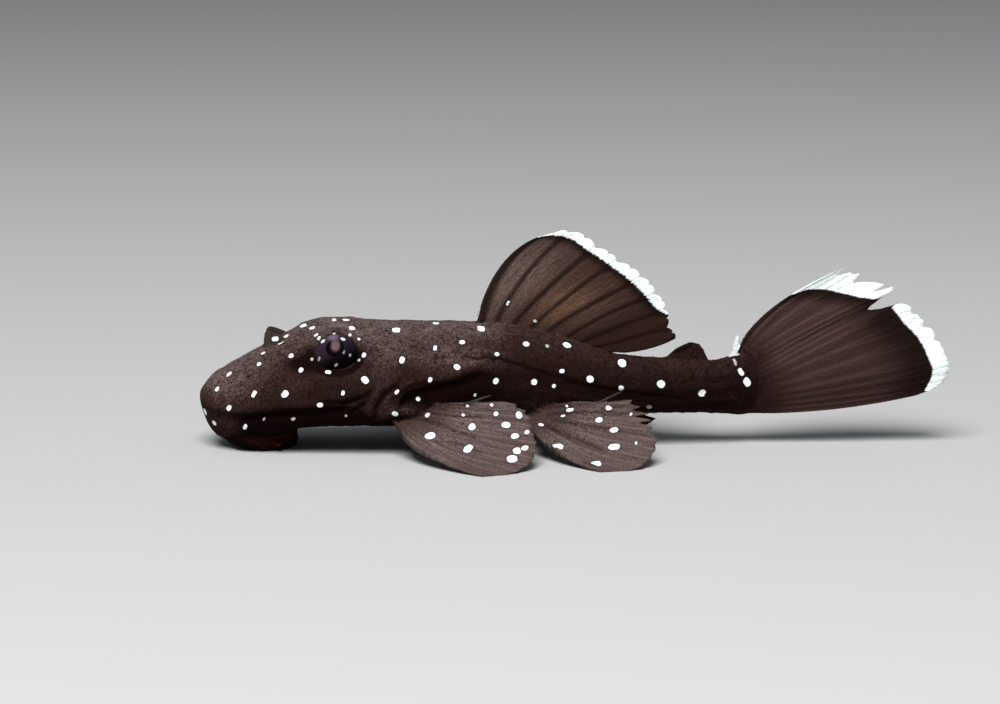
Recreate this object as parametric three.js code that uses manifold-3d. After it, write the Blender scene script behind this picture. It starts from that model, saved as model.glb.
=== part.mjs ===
// A young white-seamed bristlenose pleco at life size, lying on the bottom with its fins spread.
// Millimetres, +Z up. The head points along -X, the left flank faces -Y, and the floor is Z = 0.
// Most sizes are stations along the fish, counted from the tip of the snout, and heights above the floor.

import * as THREE from 'three';
import { mergeVertices } from 'three/addons/utils/BufferGeometryUtils.js';
import Module from 'manifold-3d';

const wasm = await Module();
wasm.setup();

// Driving sizes
const TOTAL_LENGTH = 60;
const BODY_END = 44.2;
const GAP = 0.3;
const FIN_THICKNESS = 0.5;
const RAY_THICKNESS = 0.72;
const SPINE_THICKNESS = 0.95;
const FLOOR = 0;

// Snout: it is round in plan over one length, and round in profile over a shorter one
const SNOUT_HEIGHT = 4.1;
const SNOUT_ROUND_PLAN = 5.6;
const SNOUT_ROUND_PROFILE = 1.6;

// Body profiles: [station, value]
const BACK_HEIGHT = [[0, 5.2], [1.6, 6.12], [4.5, 7.74], [7.3, 9.2], [8.4, 9.9], [10.5, 10.25], [16, 9.95],
  [22.4, 9.85], [25, 9.65], [28, 9], [31, 8.2], [34, 7.5], [37.3, 7.05], [40.8, 6.8], [42.4, 7.2], [44.2, 7.7]];
const BELLY_HEIGHT = [[0, 1.9], [0.8, 1.15], [2, 0.6], [3.2, 0.55], [6.4, 1], [8.2, 1.75], [10, 1.95],
  [15, 2], [20, 2.2], [26, 2.4], [32, 2.55], [37, 2.65], [41, 2.6], [44.2, 2.35]];
const HALF_WIDTH = [[0, 4.8], [4, 5.35], [8, 5.9], [12, 6.3], [15.5, 6.6], [18.5, 6.1], [22.4, 5.2],
  [26, 4.4], [30, 3.6], [34, 2.75], [38, 1.95], [41, 1.45], [44.2, 0.75]];
const WIDEST_HEIGHT = [[0, 3.9], [2, 3.35], [6, 3.35], [9, 3.55], [11.5, 4], [14, 4.4], [20, 4.7],
  [30, 5.1], [37, 5], [44.2, 5.1]];
const BACK_ROUNDNESS = [[0, 2], [8, 2.05], [16, 2.15], [24, 2.1], [36, 1.95], [44.2, 2]];
const BELLY_ROUNDNESS = [[0, 2], [6, 2.3], [12, 3], [24, 3], [34, 2.4], [44.2, 2]];

// Eye: an ellipsoid that looks out and up from the side of the head
const EYE_CENTRE = { station: 11.15, side: 3.55, height: 7.69 };
const EYE_LOOKS_UP = THREE.MathUtils.degToRad(36);
const EYE_LENGTH = 3.9;
const EYE_TALL = 3.6;
const EYE_DEEP = 3.4;

// Mouth: a round sucking disc on the floor
const DISC_CENTRE = 5.35;
const DISC_LENGTH = 4.9;
const DISC_WIDTH = 7.2;
const DISC_TOP = 2.2;
const BARBEL_LENGTH = 1.5;
const BARBEL_DIAMETER = 0.6;

// Where the head ends at the gill opening, and the trunk behind the dorsal fin
const GILL_CUT = { station: 15.6, lean: THREE.MathUtils.degToRad(20) };
const TAIL_CUT = { station: 32.6, lean: 0 };

// Smooth function through [station, value] knots, without overshoot
function smoothThrough(knots) {
  const secants = [];
  for (let i = 0; i < knots.length - 1; i++) {
    secants.push((knots[i + 1][1] - knots[i][1]) / (knots[i + 1][0] - knots[i][0]));
  }
  const slopes = knots.map((knot, i) => {
    if (i === 0) return secants[0];
    if (i === knots.length - 1) return secants[i - 1];
    const before = secants[i - 1];
    const after = secants[i];
    return before * after > 0 ? 2 * before * after / (before + after) : 0;
  });
  return (at) => {
    let i = 0;
    while (i < knots.length - 2 && at > knots[i + 1][0]) i++;
    const span = knots[i + 1][0] - knots[i][0];
    const t = THREE.MathUtils.clamp((at - knots[i][0]) / span, 0, 1);
    const t2 = t * t;
    const t3 = t2 * t;
    return (2 * t3 - 3 * t2 + 1) * knots[i][1] + (t3 - 2 * t2 + t) * span * slopes[i]
      + (3 * t2 - 2 * t3) * knots[i + 1][1] + (t3 - t2) * span * slopes[i + 1];
  };
}

const backHeight = smoothThrough(BACK_HEIGHT);
const bellyHeight = smoothThrough(BELLY_HEIGHT);
const halfWidth = smoothThrough(HALF_WIDTH);
const widestHeight = smoothThrough(WIDEST_HEIGHT);
const backRoundness = smoothThrough(BACK_ROUNDNESS);
const bellyRoundness = smoothThrough(BELLY_ROUNDNESS);

// A fish point as station, side (left is negative) and height, in the part's own frame
function place(station, side, height) {
  return new THREE.Vector3(station - TOTAL_LENGTH / 2, side, height);
}

// How far the snout has opened at a station, from 0 at its tip to 1 where it is full size
function opened(station, length) {
  const left = 1 - Math.min(station / length, 1);
  return Math.sqrt(1 - left * left);
}

// Point of the body's surface: angle 0 is the back, a quarter turn is the left flank, half a turn the belly
function bodyPoint(station, angle, swell) {
  const profile = opened(station, SNOUT_ROUND_PROFILE);
  const widest = THREE.MathUtils.lerp(SNOUT_HEIGHT, widestHeight(station), profile);
  const up = Math.cos(angle);
  const out = Math.sin(angle);
  const back = THREE.MathUtils.lerp(SNOUT_HEIGHT, backHeight(station), profile) + swell;
  const belly = THREE.MathUtils.lerp(SNOUT_HEIGHT, bellyHeight(station), profile) - swell;
  const width = halfWidth(station) * opened(station, SNOUT_ROUND_PLAN) + swell;
  const power = 2 / (up > 0 ? backRoundness(station) : bellyRoundness(station));
  const reach = up > 0 ? back - widest : widest - belly;
  const side = -width * Math.sign(out) * Math.abs(out) ** power;
  return place(station, side, widest + Math.sign(up) * reach * Math.abs(up) ** power);
}

// Closed mesh from points and triangles
function meshOf(points, triangles) {
  const geometry = new THREE.BufferGeometry();
  geometry.setAttribute('position', new THREE.Float32BufferAttribute(points.flatMap((p) => [p.x, p.y, p.z]), 3));
  geometry.setIndex(triangles);
  return geometry;
}

// The whole body as rings of points, closed by a point at the snout and one at the tail
function bodyGeometry(swell) {
  const around = 28;
  const snoutRings = 11;
  const otherRings = 32;
  const end = BODY_END + swell;
  const stations = [];
  for (let i = 1; i <= snoutRings; i++) {
    stations.push(SNOUT_ROUND_PLAN * (1 - Math.cos(i / snoutRings * Math.PI / 2)));
  }
  for (let i = 1; i <= otherRings; i++) stations.push(THREE.MathUtils.lerp(SNOUT_ROUND_PLAN, end, i / otherRings));
  const points = [place(-swell, 0, SNOUT_HEIGHT)];
  for (const station of stations) {
    for (let j = 0; j < around; j++) points.push(bodyPoint(station, j / around * 2 * Math.PI, swell));
  }
  points.push(place(end, 0, widestHeight(end)));
  const triangles = [];
  const last = points.length - 1;
  for (let j = 0; j < around; j++) {
    const k = (j + 1) % around;
    triangles.push(0, 1 + k, 1 + j);
    for (let i = 0; i < stations.length - 1; i++) {
      const a = 1 + i * around;
      const b = a + around;
      triangles.push(a + j, b + k, b + j, a + j, a + k, b + k);
    }
    triangles.push(last, last - around + j, last - around + k);
  }
  return meshOf(points, triangles);
}

// Solids for cutting and joining
function solid(geometry) {
  const bare = geometry.clone();
  bare.deleteAttribute('normal');
  bare.deleteAttribute('uv');
  const merged = mergeVertices(bare, 1e-4);
  const vertProperties = new Float32Array(merged.attributes.position.array);
  const triVerts = new Uint32Array(merged.index.array);
  return new wasm.Manifold(new wasm.Mesh({ numProp: 3, vertProperties, triVerts }));
}

function geometryOf(manifold) {
  const mesh = manifold.getMesh();
  const geometry = new THREE.BufferGeometry();
  geometry.setAttribute('position', new THREE.BufferAttribute(new Float32Array(mesh.vertProperties), 3));
  geometry.setIndex(new THREE.BufferAttribute(new Uint32Array(mesh.triVerts), 1));
  geometry.computeVertexNormals();
  return geometry;
}

// Box that fills a stretch of the fish between two leaning cuts
function stretch(front, rear) {
  const far = 40;
  const corner = (cut, end, side, height) => {
    const lean = Math.tan(cut.lean) * (height - SNOUT_HEIGHT);
    return place(cut.station + end + lean, side * far, height);
  };
  const points = [];
  for (const side of [-1, 1]) {
    for (const height of [-far, far]) {
      points.push(corner(front, GAP / 2, side, height), corner(rear, -GAP / 2, side, height));
    }
  }
  return meshOf(points, [0, 1, 3, 0, 3, 2, 4, 7, 5, 4, 6, 7, 0, 4, 5, 0, 5, 1, 2, 3, 7, 2, 7, 6, 0, 2, 6, 0, 6, 4,
    1, 5, 7, 1, 7, 3]);
}

// Quadratic curve of one fin ray from its root to its tip
function rayPoint(root, bend, tip, t) {
  const middle = root.clone().add(tip).multiplyScalar(0.5).add(bend);
  return root.clone().multiplyScalar((1 - t) ** 2).addScaledVector(middle, 2 * t * (1 - t)).addScaledVector(tip, t * t);
}

// A fin as a plate with raised rays. roots and tips are curves, and bend(u) bows the rays between them.
// The membrane between two rays stops a little short of their tips.
function finGeometry({ roots, tips, bend, rays, rows, spine, notch = 0.03 }) {
  const columns = 2 * (rays - 1);
  const at = (i, j) => {
    const u = i / columns;
    const reach = i % 2 === 1 ? 1 - notch : 1;
    return rayPoint(roots.getPoint(u), bend(u), tips.getPoint(u), j / rows * reach);
  };
  const half = (i, j) => {
    const edge = 1 - j / rows;
    if (i % 2 === 1) return FIN_THICKNESS / 2;
    const root = i === 0 && spine ? SPINE_THICKNESS : RAY_THICKNESS;
    return THREE.MathUtils.lerp(FIN_THICKNESS, root, edge) / 2;
  };
  const points = [];
  for (const face of [1, -1]) {
    for (let i = 0; i <= columns; i++) {
      for (let j = 0; j <= rows; j++) {
        const across = at(Math.min(i + 1, columns), j).sub(at(Math.max(i - 1, 0), j));
        const along = at(i, Math.min(j + 1, rows)).sub(at(i, Math.max(j - 1, 0)));
        const normal = across.cross(along).normalize();
        points.push(at(i, j).addScaledVector(normal, face * half(i, j)));
      }
    }
  }
  const sheet = (columns + 1) * (rows + 1);
  const index = (i, j) => i * (rows + 1) + j;
  const triangles = [];
  const quad = (a, b, c, d) => triangles.push(a, b, c, a, c, d);
  for (let i = 0; i < columns; i++) {
    for (let j = 0; j < rows; j++) {
      const [a, b, c, d] = [index(i, j), index(i + 1, j), index(i + 1, j + 1), index(i, j + 1)];
      quad(a, b, c, d);
      quad(sheet + a, sheet + d, sheet + c, sheet + b);
    }
    quad(index(i, 0), sheet + index(i, 0), sheet + index(i + 1, 0), index(i + 1, 0));
    quad(index(i, rows), index(i + 1, rows), sheet + index(i + 1, rows), sheet + index(i, rows));
  }
  for (let j = 0; j < rows; j++) {
    quad(index(0, j), index(0, j + 1), sheet + index(0, j + 1), sheet + index(0, j));
    quad(index(columns, j), sheet + index(columns, j), sheet + index(columns, j + 1), index(columns, j + 1));
  }
  return meshOf(points, triangles);
}

function curveOf(rows) {
  return new THREE.CatmullRomCurve3(rows.map(([station, side, height]) => place(station, -side, height)));
}

// Paired fins: [station, distance from the middle, height]
const PECTORAL = {
  roots: curveOf([[15.5, 5.2, 2.9], [16.1, 5.1, 3.4], [16.8, 5, 4]]),
  tips: curveOf([[22.7, 14.8, 0.15], [25, 13.7, 0.15], [26.5, 12.1, 0.65], [26.95, 10.4, 1.6], [26.6, 9, 2.7],
    [26.3, 7.8, 3.7], [25, 6.9, 4.5]]),
  bend: (u) => new THREE.Vector3(-1.9 * (1 - u), -(0.9 + 0.1 * u), -0.8 + 1.2 * u),
  rays: 7,
  rows: 9,
  spine: true,
};

const PELVIC = {
  roots: curveOf([[25.7, 3.5, 2.9], [26.3, 3.3, 3.3], [27, 3.1, 3.7]]),
  tips: curveOf([[31.8, 12.8, 0.15], [34.6, 12, 0.18], [36, 10.4, 0.95], [36.4, 8.6, 2.2], [36.1, 6.8, 3.4],
    [35, 5.1, 4.4]]),
  bend: (u) => new THREE.Vector3(-1.2 * (1 - u), -(1 + 0.1 * u), -0.9 + 1.2 * u),
  rays: 6,
  rows: 9,
  spine: true,
};

// Fins of the middle line: [station, 0, height]
const DORSAL = {
  roots: curveOf([[21.9, 0, 8.9], [25.1, 0, 8.7], [28.8, 0, 7.9], [32.2, 0, 7]]),
  tips: curveOf([[27.1, 0, 16.8], [29.8, 0, 17.35], [32.1, 0, 16.15], [33.8, 0, 15], [35.5, 0, 13.7],
    [36.7, 0, 12.3], [37.45, 0, 11], [37.7, 0, 9.6], [38.35, 0, 8.75]]),
  bend: (u) => new THREE.Vector3(-1.4 * (1 - u) ** 6 - 1.2 * u * (1 - u) + 0.2 * u ** 8, 0,
    2.3 * (1 - u) ** 6 + 1.8 * u * (1 - u) - 0.5 * u ** 8),
  rays: 9,
  rows: 8,
  spine: true,
};

const CAUDAL = {
  roots: curveOf([[42.9, 0, 7.4], [43.4, 0, 6.4], [43.6, 0, 5], [43.4, 0, 3.6], [43, 0, 2.55]]),
  tips: curveOf([[50.9, 0, 14.1], [51.7, 0, 14.35], [52.7, 0, 13.95], [54.9, 0, 13], [55.5, 0, 12.65],
    [54.3, 0, 11.7], [53.5, 0, 10.95], [54.3, 0, 11], [56.4, 0, 11.4], [57.7, 0, 10.25], [58.9, 0, 8.9],
    [59.7, 0, 7.25], [60, 0, 6.3], [59.7, 0, 5.2], [58.8, 0, 4.55], [57.4, 0, 4]]),
  bend: (u) => new THREE.Vector3(0.2 - 2.8 * (1 - u) ** 3, 0, 0.3 * (1 - u) ** 3 - 0.9 * u ** 3),
  rays: 16,
  rows: 9,
  spine: false,
  notch: 0.02,
};

const ANAL = {
  roots: curveOf([[31.6, 0, 3.4], [32.6, 0, 3.4], [33.6, 0, 3.5]]),
  tips: curveOf([[34.6, 0, 1.5], [35.8, 0, 1.6], [36.6, 0, 2.1]]),
  bend: () => new THREE.Vector3(0, 0, -0.3),
  rays: 5,
  rows: 5,
  spine: true,
};

// The adipose fin: a short spine with a web behind it, drawn as an outline of [station, height]
const ADIPOSE_OUTLINE = [[36.6, 6.5], [37.4, 7.4], [38.4, 7.95], [39.3, 8.3], [39.9, 8.2], [40.4, 7.6],
  [40.7, 6.9], [40.8, 6.3]];

function adiposeGeometry() {
  const outline = new THREE.Shape(ADIPOSE_OUTLINE.map(([station, height]) => {
    const point = place(station, 0, height);
    return new THREE.Vector2(point.x, point.z);
  }));
  const geometry = new THREE.ExtrudeGeometry(outline, { depth: FIN_THICKNESS, bevelEnabled: false });
  geometry.rotateX(Math.PI / 2);
  geometry.translate(0, FIN_THICKNESS / 2, 0);
  return geometry;
}

// A skin flap that stands between the two openings of each nostril and leans forward
const FLAP_CENTRE = { station: 6.1, side: 1.6, height: 8.05 };
const FLAP_WIDTH = 1.9;
const FLAP_HEIGHT = 1.5;
const FLAP_TURN = THREE.MathUtils.degToRad(45);
const FLAP_LEAN = THREE.MathUtils.degToRad(20);

function flapGeometry() {
  const outline = new THREE.Shape();
  outline.moveTo(-FLAP_WIDTH / 2, -0.5);
  outline.lineTo(FLAP_WIDTH / 2, -0.5);
  outline.quadraticCurveTo(FLAP_WIDTH * 0.6, FLAP_HEIGHT * 0.7, 0.3, FLAP_HEIGHT);
  outline.quadraticCurveTo(-FLAP_WIDTH * 0.5, FLAP_HEIGHT, -FLAP_WIDTH / 2, -0.5);
  const geometry = new THREE.ExtrudeGeometry(outline, { depth: FIN_THICKNESS, bevelEnabled: false, curveSegments: 5 });
  geometry.translate(0, 0, -FIN_THICKNESS / 2);
  geometry.rotateX(Math.PI / 2);
  geometry.rotateZ(-FLAP_TURN);
  geometry.rotateY(-FLAP_LEAN);
  const foot = place(FLAP_CENTRE.station, -FLAP_CENTRE.side, FLAP_CENTRE.height);
  geometry.translate(foot.x, foot.y, foot.z);
  return geometry;
}

// The eyeball of the left side, grown evenly by a margin
function eyeGeometry(margin) {
  const geometry = new THREE.SphereGeometry(1, 18, 12);
  geometry.scale(EYE_LENGTH / 2 + margin, EYE_DEEP / 2 + margin, EYE_TALL / 2 + margin);
  geometry.rotateX(-EYE_LOOKS_UP);
  const centre = place(EYE_CENTRE.station, -EYE_CENTRE.side, EYE_CENTRE.height);
  geometry.translate(centre.x, centre.y, centre.z);
  return geometry;
}

// The sucking disc: a turned lip, squeezed to an oval, with a hollow for the mouth and a barbel at each corner
function discGeometry() {
  const radius = DISC_WIDTH / 2;
  const profile = [[0, FLOOR], [radius * 0.88, FLOOR], [radius * 0.97, 0.25], [radius, 0.6], [radius, 1.1],
    [radius * 1.04, DISC_TOP], [0, DISC_TOP]];
  const geometry = new THREE.LatheGeometry(profile.map(([r, h]) => new THREE.Vector2(r, h)), 28);
  geometry.rotateX(Math.PI / 2);
  geometry.scale(DISC_LENGTH / DISC_WIDTH, 1, 1);
  const centre = place(DISC_CENTRE, 0, 0);
  geometry.translate(centre.x, centre.y, centre.z);
  return geometry;
}

function mouthGeometry() {
  const geometry = new THREE.SphereGeometry(1, 16, 8);
  geometry.scale(DISC_LENGTH * 0.2, DISC_WIDTH * 0.24, 0.5);
  const centre = place(DISC_CENTRE + DISC_LENGTH * 0.02, 0, FLOOR);
  geometry.translate(centre.x, centre.y, centre.z);
  return geometry;
}

function barbelGeometry(side) {
  const geometry = new THREE.ConeGeometry(BARBEL_DIAMETER / 2, BARBEL_LENGTH, 8);
  geometry.rotateZ(side > 0 ? 0 : Math.PI);
  geometry.rotateZ(-side * THREE.MathUtils.degToRad(35));
  const root = place(DISC_CENTRE + 0.9, side * DISC_WIDTH * 0.47, 0.62);
  geometry.translate(root.x, root.y, root.z);
  return geometry;
}

function mirrored(geometry) {
  const copy = geometry.clone();
  copy.scale(1, -1, 1);
  const index = copy.index.array;
  for (let i = 0; i < index.length; i += 3) [index[i], index[i + 1]] = [index[i + 1], index[i]];
  copy.computeVertexNormals();
  return copy;
}

// Materials
const DARK_BROWN = { color: '#33261f', roughness: 0.72, metalness: 0 };
const HEAD_BROWN = { color: '#3d2f29', roughness: 0.7, metalness: 0 };
const LIP_BROWN = { color: '#24130f', roughness: 0.6, metalness: 0 };
const FIN_BROWN = { color: '#4a3a33', roughness: 0.62, metalness: 0 };
const EYE_BLACK = { color: '#14121a', roughness: 0.12, metalness: 0 };

// The fish
const model = new THREE.Group();

function add(name, geometry, look) {
  const mesh = new THREE.Mesh(geometry, new THREE.MeshStandardMaterial(look));
  mesh.name = name;
  model.add(mesh);
}

const body = solid(bodyGeometry(0));
const clearance = solid(bodyGeometry(GAP));
const aboveFloor = solid(new THREE.BoxGeometry(200, 100, 50).translate(0, 0, 25 + FLOOR));
const sockets = solid(eyeGeometry(GAP)).add(solid(mirrored(eyeGeometry(GAP))));
const snoutEnd = { station: -5, lean: 0 };
const bodyEnd = { station: BODY_END + 5, lean: 0 };

add('head', geometryOf(body.intersect(solid(stretch(snoutEnd, GILL_CUT))).subtract(sockets)), HEAD_BROWN);
add('trunk', geometryOf(body.intersect(solid(stretch(GILL_CUT, TAIL_CUT)))), DARK_BROWN);

add('tail', geometryOf(body.intersect(solid(stretch(TAIL_CUT, bodyEnd)))), DARK_BROWN);
add('caudal_fin', geometryOf(solid(finGeometry(CAUDAL)).subtract(clearance)), FIN_BROWN);

const disc = solid(discGeometry()).subtract(solid(mouthGeometry()));
const lips = disc.add(solid(barbelGeometry(-1))).add(solid(barbelGeometry(1)));
add('lips', geometryOf(lips.subtract(clearance).intersect(aboveFloor)), LIP_BROWN);

add('dorsal_fin', geometryOf(solid(finGeometry(DORSAL)).subtract(clearance)), FIN_BROWN);
add('adipose_fin', geometryOf(solid(adiposeGeometry()).subtract(clearance)), FIN_BROWN);
add('anal_fin', geometryOf(solid(finGeometry(ANAL)).subtract(clearance)), FIN_BROWN);

const paired = {
  eye: { geometry: eyeGeometry(0), look: EYE_BLACK },
  nostril_flap: { geometry: geometryOf(solid(flapGeometry()).subtract(clearance)), look: HEAD_BROWN },
  pectoral_fin: {
    geometry: geometryOf(solid(finGeometry(PECTORAL)).subtract(clearance).intersect(aboveFloor)), look: FIN_BROWN },
  pelvic_fin: {
    geometry: geometryOf(solid(finGeometry(PELVIC)).subtract(clearance).intersect(aboveFloor)), look: FIN_BROWN },
};
for (const [name, { geometry, look }] of Object.entries(paired)) {
  add(`${name}_left`, geometry, look);
  add(`${name}_right`, mirrored(geometry), look);
}

export default model;
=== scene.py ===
# A young white-seamed bristlenose pleco at life size, lying on the floor with its fins spread.
# Sizes are millimetres, and the meshes are turned into metres when they are made.
# A fish point is a station (counted from the tip of the snout), a side (left is negative) and a height.
import math
from dataclasses import dataclass

import bpy
import numpy as np
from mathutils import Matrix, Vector, noise
from mathutils.bvhtree import BVHTree


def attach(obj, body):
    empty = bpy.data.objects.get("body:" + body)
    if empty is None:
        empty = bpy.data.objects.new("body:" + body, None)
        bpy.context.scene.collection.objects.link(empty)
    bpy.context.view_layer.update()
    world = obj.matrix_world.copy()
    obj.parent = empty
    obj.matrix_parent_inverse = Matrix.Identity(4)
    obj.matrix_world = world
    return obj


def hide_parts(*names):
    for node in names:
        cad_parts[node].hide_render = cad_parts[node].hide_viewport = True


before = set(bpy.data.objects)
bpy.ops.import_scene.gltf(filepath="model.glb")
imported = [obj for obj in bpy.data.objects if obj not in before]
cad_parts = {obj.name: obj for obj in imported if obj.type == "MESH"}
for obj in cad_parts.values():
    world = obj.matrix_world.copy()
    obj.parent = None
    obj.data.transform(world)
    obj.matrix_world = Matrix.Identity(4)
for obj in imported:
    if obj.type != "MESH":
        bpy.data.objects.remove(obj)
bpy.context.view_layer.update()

# Driving sizes
TOTAL_LENGTH = 60
BODY_END = 44.2
METRES = 0.001
MIRROR = np.array([1, -1, 1])
SEED = 20

# Snout: it is round in plan over one length, and round in profile over a shorter one
SNOUT_HEIGHT = 4.1
SNOUT_ROUND_PLAN = 5.6
SNOUT_ROUND_PROFILE = 1.6

# Body profiles: (station, value)
BACK_HEIGHT = [(0, 5.2), (1.6, 6.12), (4.5, 7.74), (7.3, 9.2), (8.4, 9.9), (10.5, 10.25), (16, 9.95),
               (22.4, 9.85), (25, 9.65), (28, 9), (31, 8.1), (33.4, 7.32), (35.2, 7.08), (37.3, 7),
               (40.8, 6.8), (42.4, 7.2), (44.2, 7.7)]
BELLY_HEIGHT = [(0, 1.9), (0.8, 1.15), (2, 0.6), (3.2, 0.55), (6.4, 1), (8.2, 1.75), (10, 1.95), (15, 2),
                (20, 2.2), (26, 2.4), (32, 2.55), (37, 2.65), (41, 2.6), (44.2, 2.35)]
HALF_WIDTH = [(0, 4.8), (4, 5.35), (8, 5.9), (12, 6.3), (15.5, 6.6), (18.5, 6.1), (22.4, 5.2), (26, 4.4),
              (30, 3.6), (34, 2.75), (38, 1.95), (41, 1.45), (44.2, 0.75)]
WIDEST_HEIGHT = [(0, 3.9), (2, 3.35), (6, 3.35), (9, 3.55), (11.5, 4), (14, 4.4), (20, 4.7), (30, 5.1),
                 (37, 5), (44.2, 5.1)]
BACK_ROUNDNESS = [(0, 2), (8, 2.05), (16, 2.15), (24, 2.1), (36, 1.95), (44.2, 2)]
BELLY_ROUNDNESS = [(0, 2), (6, 2.3), (12, 3), (24, 3), (34, 2.4), (44.2, 2)]

# Eye: an ellipsoid that looks out and up from the side of the head
EYE_CENTRE = (11.15, 3.55, 7.69)
EYE_LOOKS_UP = math.radians(36)
EYE_HALVES = np.array([1.95, 1.7, 1.8])
EYE_OPENING = 0.9

# Mouth: a round sucking disc on the floor
DISC_CENTRE = 5.35
DISC_LENGTH = 4.9
DISC_WIDTH = 7.2
DISC_TOP = 2.2

# Camera, level with the middle of the fish and looking a little down on it
VIEW_AIM = np.array([-5.96, 0, 7.5])
VIEW_DOWN = math.radians(8.5)
VIEW_DISTANCE = 330
VIEW_LENS = 148.5
VIEW_SENSOR = 36
PICTURE_WIDTH = 1000
PICTURE_HEIGHT = 704

rng = np.random.default_rng(SEED)


# Curves and small helpers

def smooth_through(knots):
    """Smooth function through (at, value) knots, without overshoot."""
    at, value = np.array(knots, float).T
    step = np.diff(at)
    secant = np.diff(value) / step
    slope = np.zeros(len(at))
    slope[0], slope[-1] = secant[0], secant[-1]
    before, after = secant[:-1], secant[1:]
    rising = before * after > 0
    slope[1:-1][rising] = 2 * before[rising] * after[rising] / (before + after)[rising]

    def curve(x):
        i = np.clip(np.searchsorted(at, x, side="right") - 1, 0, len(step) - 1)
        t = np.clip((x - at[i]) / step[i], 0, 1)
        return ((2 * t**3 - 3 * t**2 + 1) * value[i] + (t**3 - 2 * t**2 + t) * step[i] * slope[i]
                + (3 * t**2 - 2 * t**3) * value[i + 1] + (t**3 - t**2) * step[i] * slope[i + 1])
    return curve


def through_points(rows):
    """Centripetal curve through fish points, from 0 at the first to 1 at the last."""
    knots = np.array([place(*row) for row in rows])
    knots = np.vstack([2 * knots[0] - knots[1], knots, 2 * knots[-1] - knots[-2]])
    gap = np.maximum(np.linalg.norm(np.diff(knots, axis=0), axis=1), 1e-9) ** 0.5

    def curve(u):
        at = np.clip(np.asarray(u, float), 0, 1) * (len(knots) - 3)
        i = np.minimum(at.astype(int), len(knots) - 4)
        t = (at - i)[..., None]
        p0, p1, p2, p3 = (knots[i + k] for k in range(4))
        d0, d1, d2 = (gap[i + k][..., None] for k in range(3))
        out = ((p1 - p0) / d0 - (p2 - p0) / (d0 + d1) + (p2 - p1) / d1) * d1
        into = ((p2 - p1) / d1 - (p3 - p1) / (d1 + d2) + (p3 - p2) / d2) * d1
        return (p1 + out * t + (3 * (p2 - p1) - 2 * out - into) * t**2
                + (2 * (p1 - p2) + out + into) * t**3)
    return curve


def place(station, side, height):
    """Points of the part's own frame from stations, sides and heights."""
    return stacked(np.asarray(station, float) - TOTAL_LENGTH / 2, side, height)


def stacked(*grids):
    """Vectors from grids of their parts, broadcast together."""
    return np.stack(np.broadcast_arrays(*grids), -1)


def gone_along(points):
    """Length along a line of points, up to each of them."""
    return np.concatenate([[0], np.cumsum(np.linalg.norm(np.diff(points, axis=0), axis=1))])


def smoothstep(low, high, x):
    t = np.clip((x - low) / (high - low), 0, 1)
    return t * t * (3 - 2 * t)


def hump(x, width):
    return np.exp(-(x / width) ** 2)


def blend(a, b, t):
    return a + (b - a) * t


def unit(vectors):
    return vectors / np.maximum(np.linalg.norm(vectors, axis=-1, keepdims=True), 1e-12)


def full_turn(count):
    """Angles all the way round, one to a row, of which the last is the first again."""
    turn = np.linspace(0, 2 * math.pi, count)[:, None]
    turn[-1] = 0
    return turn


def sided(name, side):
    return name + ("_left" if side < 0 else "_right")


def rough(points, size, octaves=3):
    """Soft noise between about -1 and 1 at points, with lumps of a given size."""
    flat = (points / size).reshape(-1, 3)
    values = [noise.fractal(Vector(p), 0.7, 2.1, octaves) for p in flat.tolist()]
    return np.array(values).reshape(points.shape[:-1])


back_height, belly_height, half_width, widest_height, back_roundness, belly_roundness = map(
    smooth_through, (BACK_HEIGHT, BELLY_HEIGHT, HALF_WIDTH, WIDEST_HEIGHT, BACK_ROUNDNESS, BELLY_ROUNDNESS))


def opened(station, length):
    """How far the snout has opened at a station, from 0 at its tip to 1 where it is full size."""
    left = 1 - np.minimum(station / length, 1)
    return np.sqrt(1 - left * left)


def body_point(station, angle):
    """Points of the left half of the body: angle 0 is the back and half a turn is the belly."""
    profile = opened(station, SNOUT_ROUND_PROFILE)
    widest, back, belly = (blend(SNOUT_HEIGHT, curve(station), profile)
                           for curve in (widest_height, back_height, belly_height))
    width = half_width(station) * opened(station, SNOUT_ROUND_PLAN)
    up = np.cos(angle)
    power = 2 / np.where(up > 0, back_roundness(station), belly_roundness(station))
    reach = np.where(up > 0, back - widest, widest - belly)
    height = widest + np.sign(up) * reach * np.abs(up) ** power
    return place(station, -width * np.abs(np.sin(angle)) ** power, height)


# Grids and shells

@dataclass
class Face:
    """One side of a part as a grid: points, normals, places on a flat chart, and named values."""
    points: np.ndarray
    normals: np.ndarray
    flat: np.ndarray
    values: dict

    def mirrored(self):
        values = {name: value.copy() for name, value in self.values.items()}
        values["skin_at"] = values["skin_at"] * MIRROR
        return Face(self.points * MIRROR, self.normals * MIRROR, self.flat.copy(), values)

    def at(self, grid, i, j):
        """Values of one of this face's grids at fractional places."""
        i = np.clip(i, 0, grid.shape[0] - 1.001)
        j = np.clip(j, 0, grid.shape[1] - 1.001)
        a, b = i.astype(int), j.astype(int)
        s, t = i - a, j - b
        if grid.ndim == 3:
            s, t = s[:, None], t[:, None]
        return ((grid[a, b] * (1 - s) + grid[a + 1, b] * s) * (1 - t)
                + (grid[a, b + 1] * (1 - s) + grid[a + 1, b + 1] * s) * t)


def blank_values(points, kind=0, seam=-5.0):
    """Named values of plain skin at each point of a grid."""
    zero, nowhere = np.zeros(points.shape[:2]), np.zeros(points.shape)
    return {"skin_at": points, "pale_and_lit": zero + 0.3, "under": zero, "plate": nowhere, "fin": zero,
            "branch": nowhere, "fin_at": nowhere, "spacing": zero, "seam": zero + seam, "kind": zero + kind}


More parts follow.
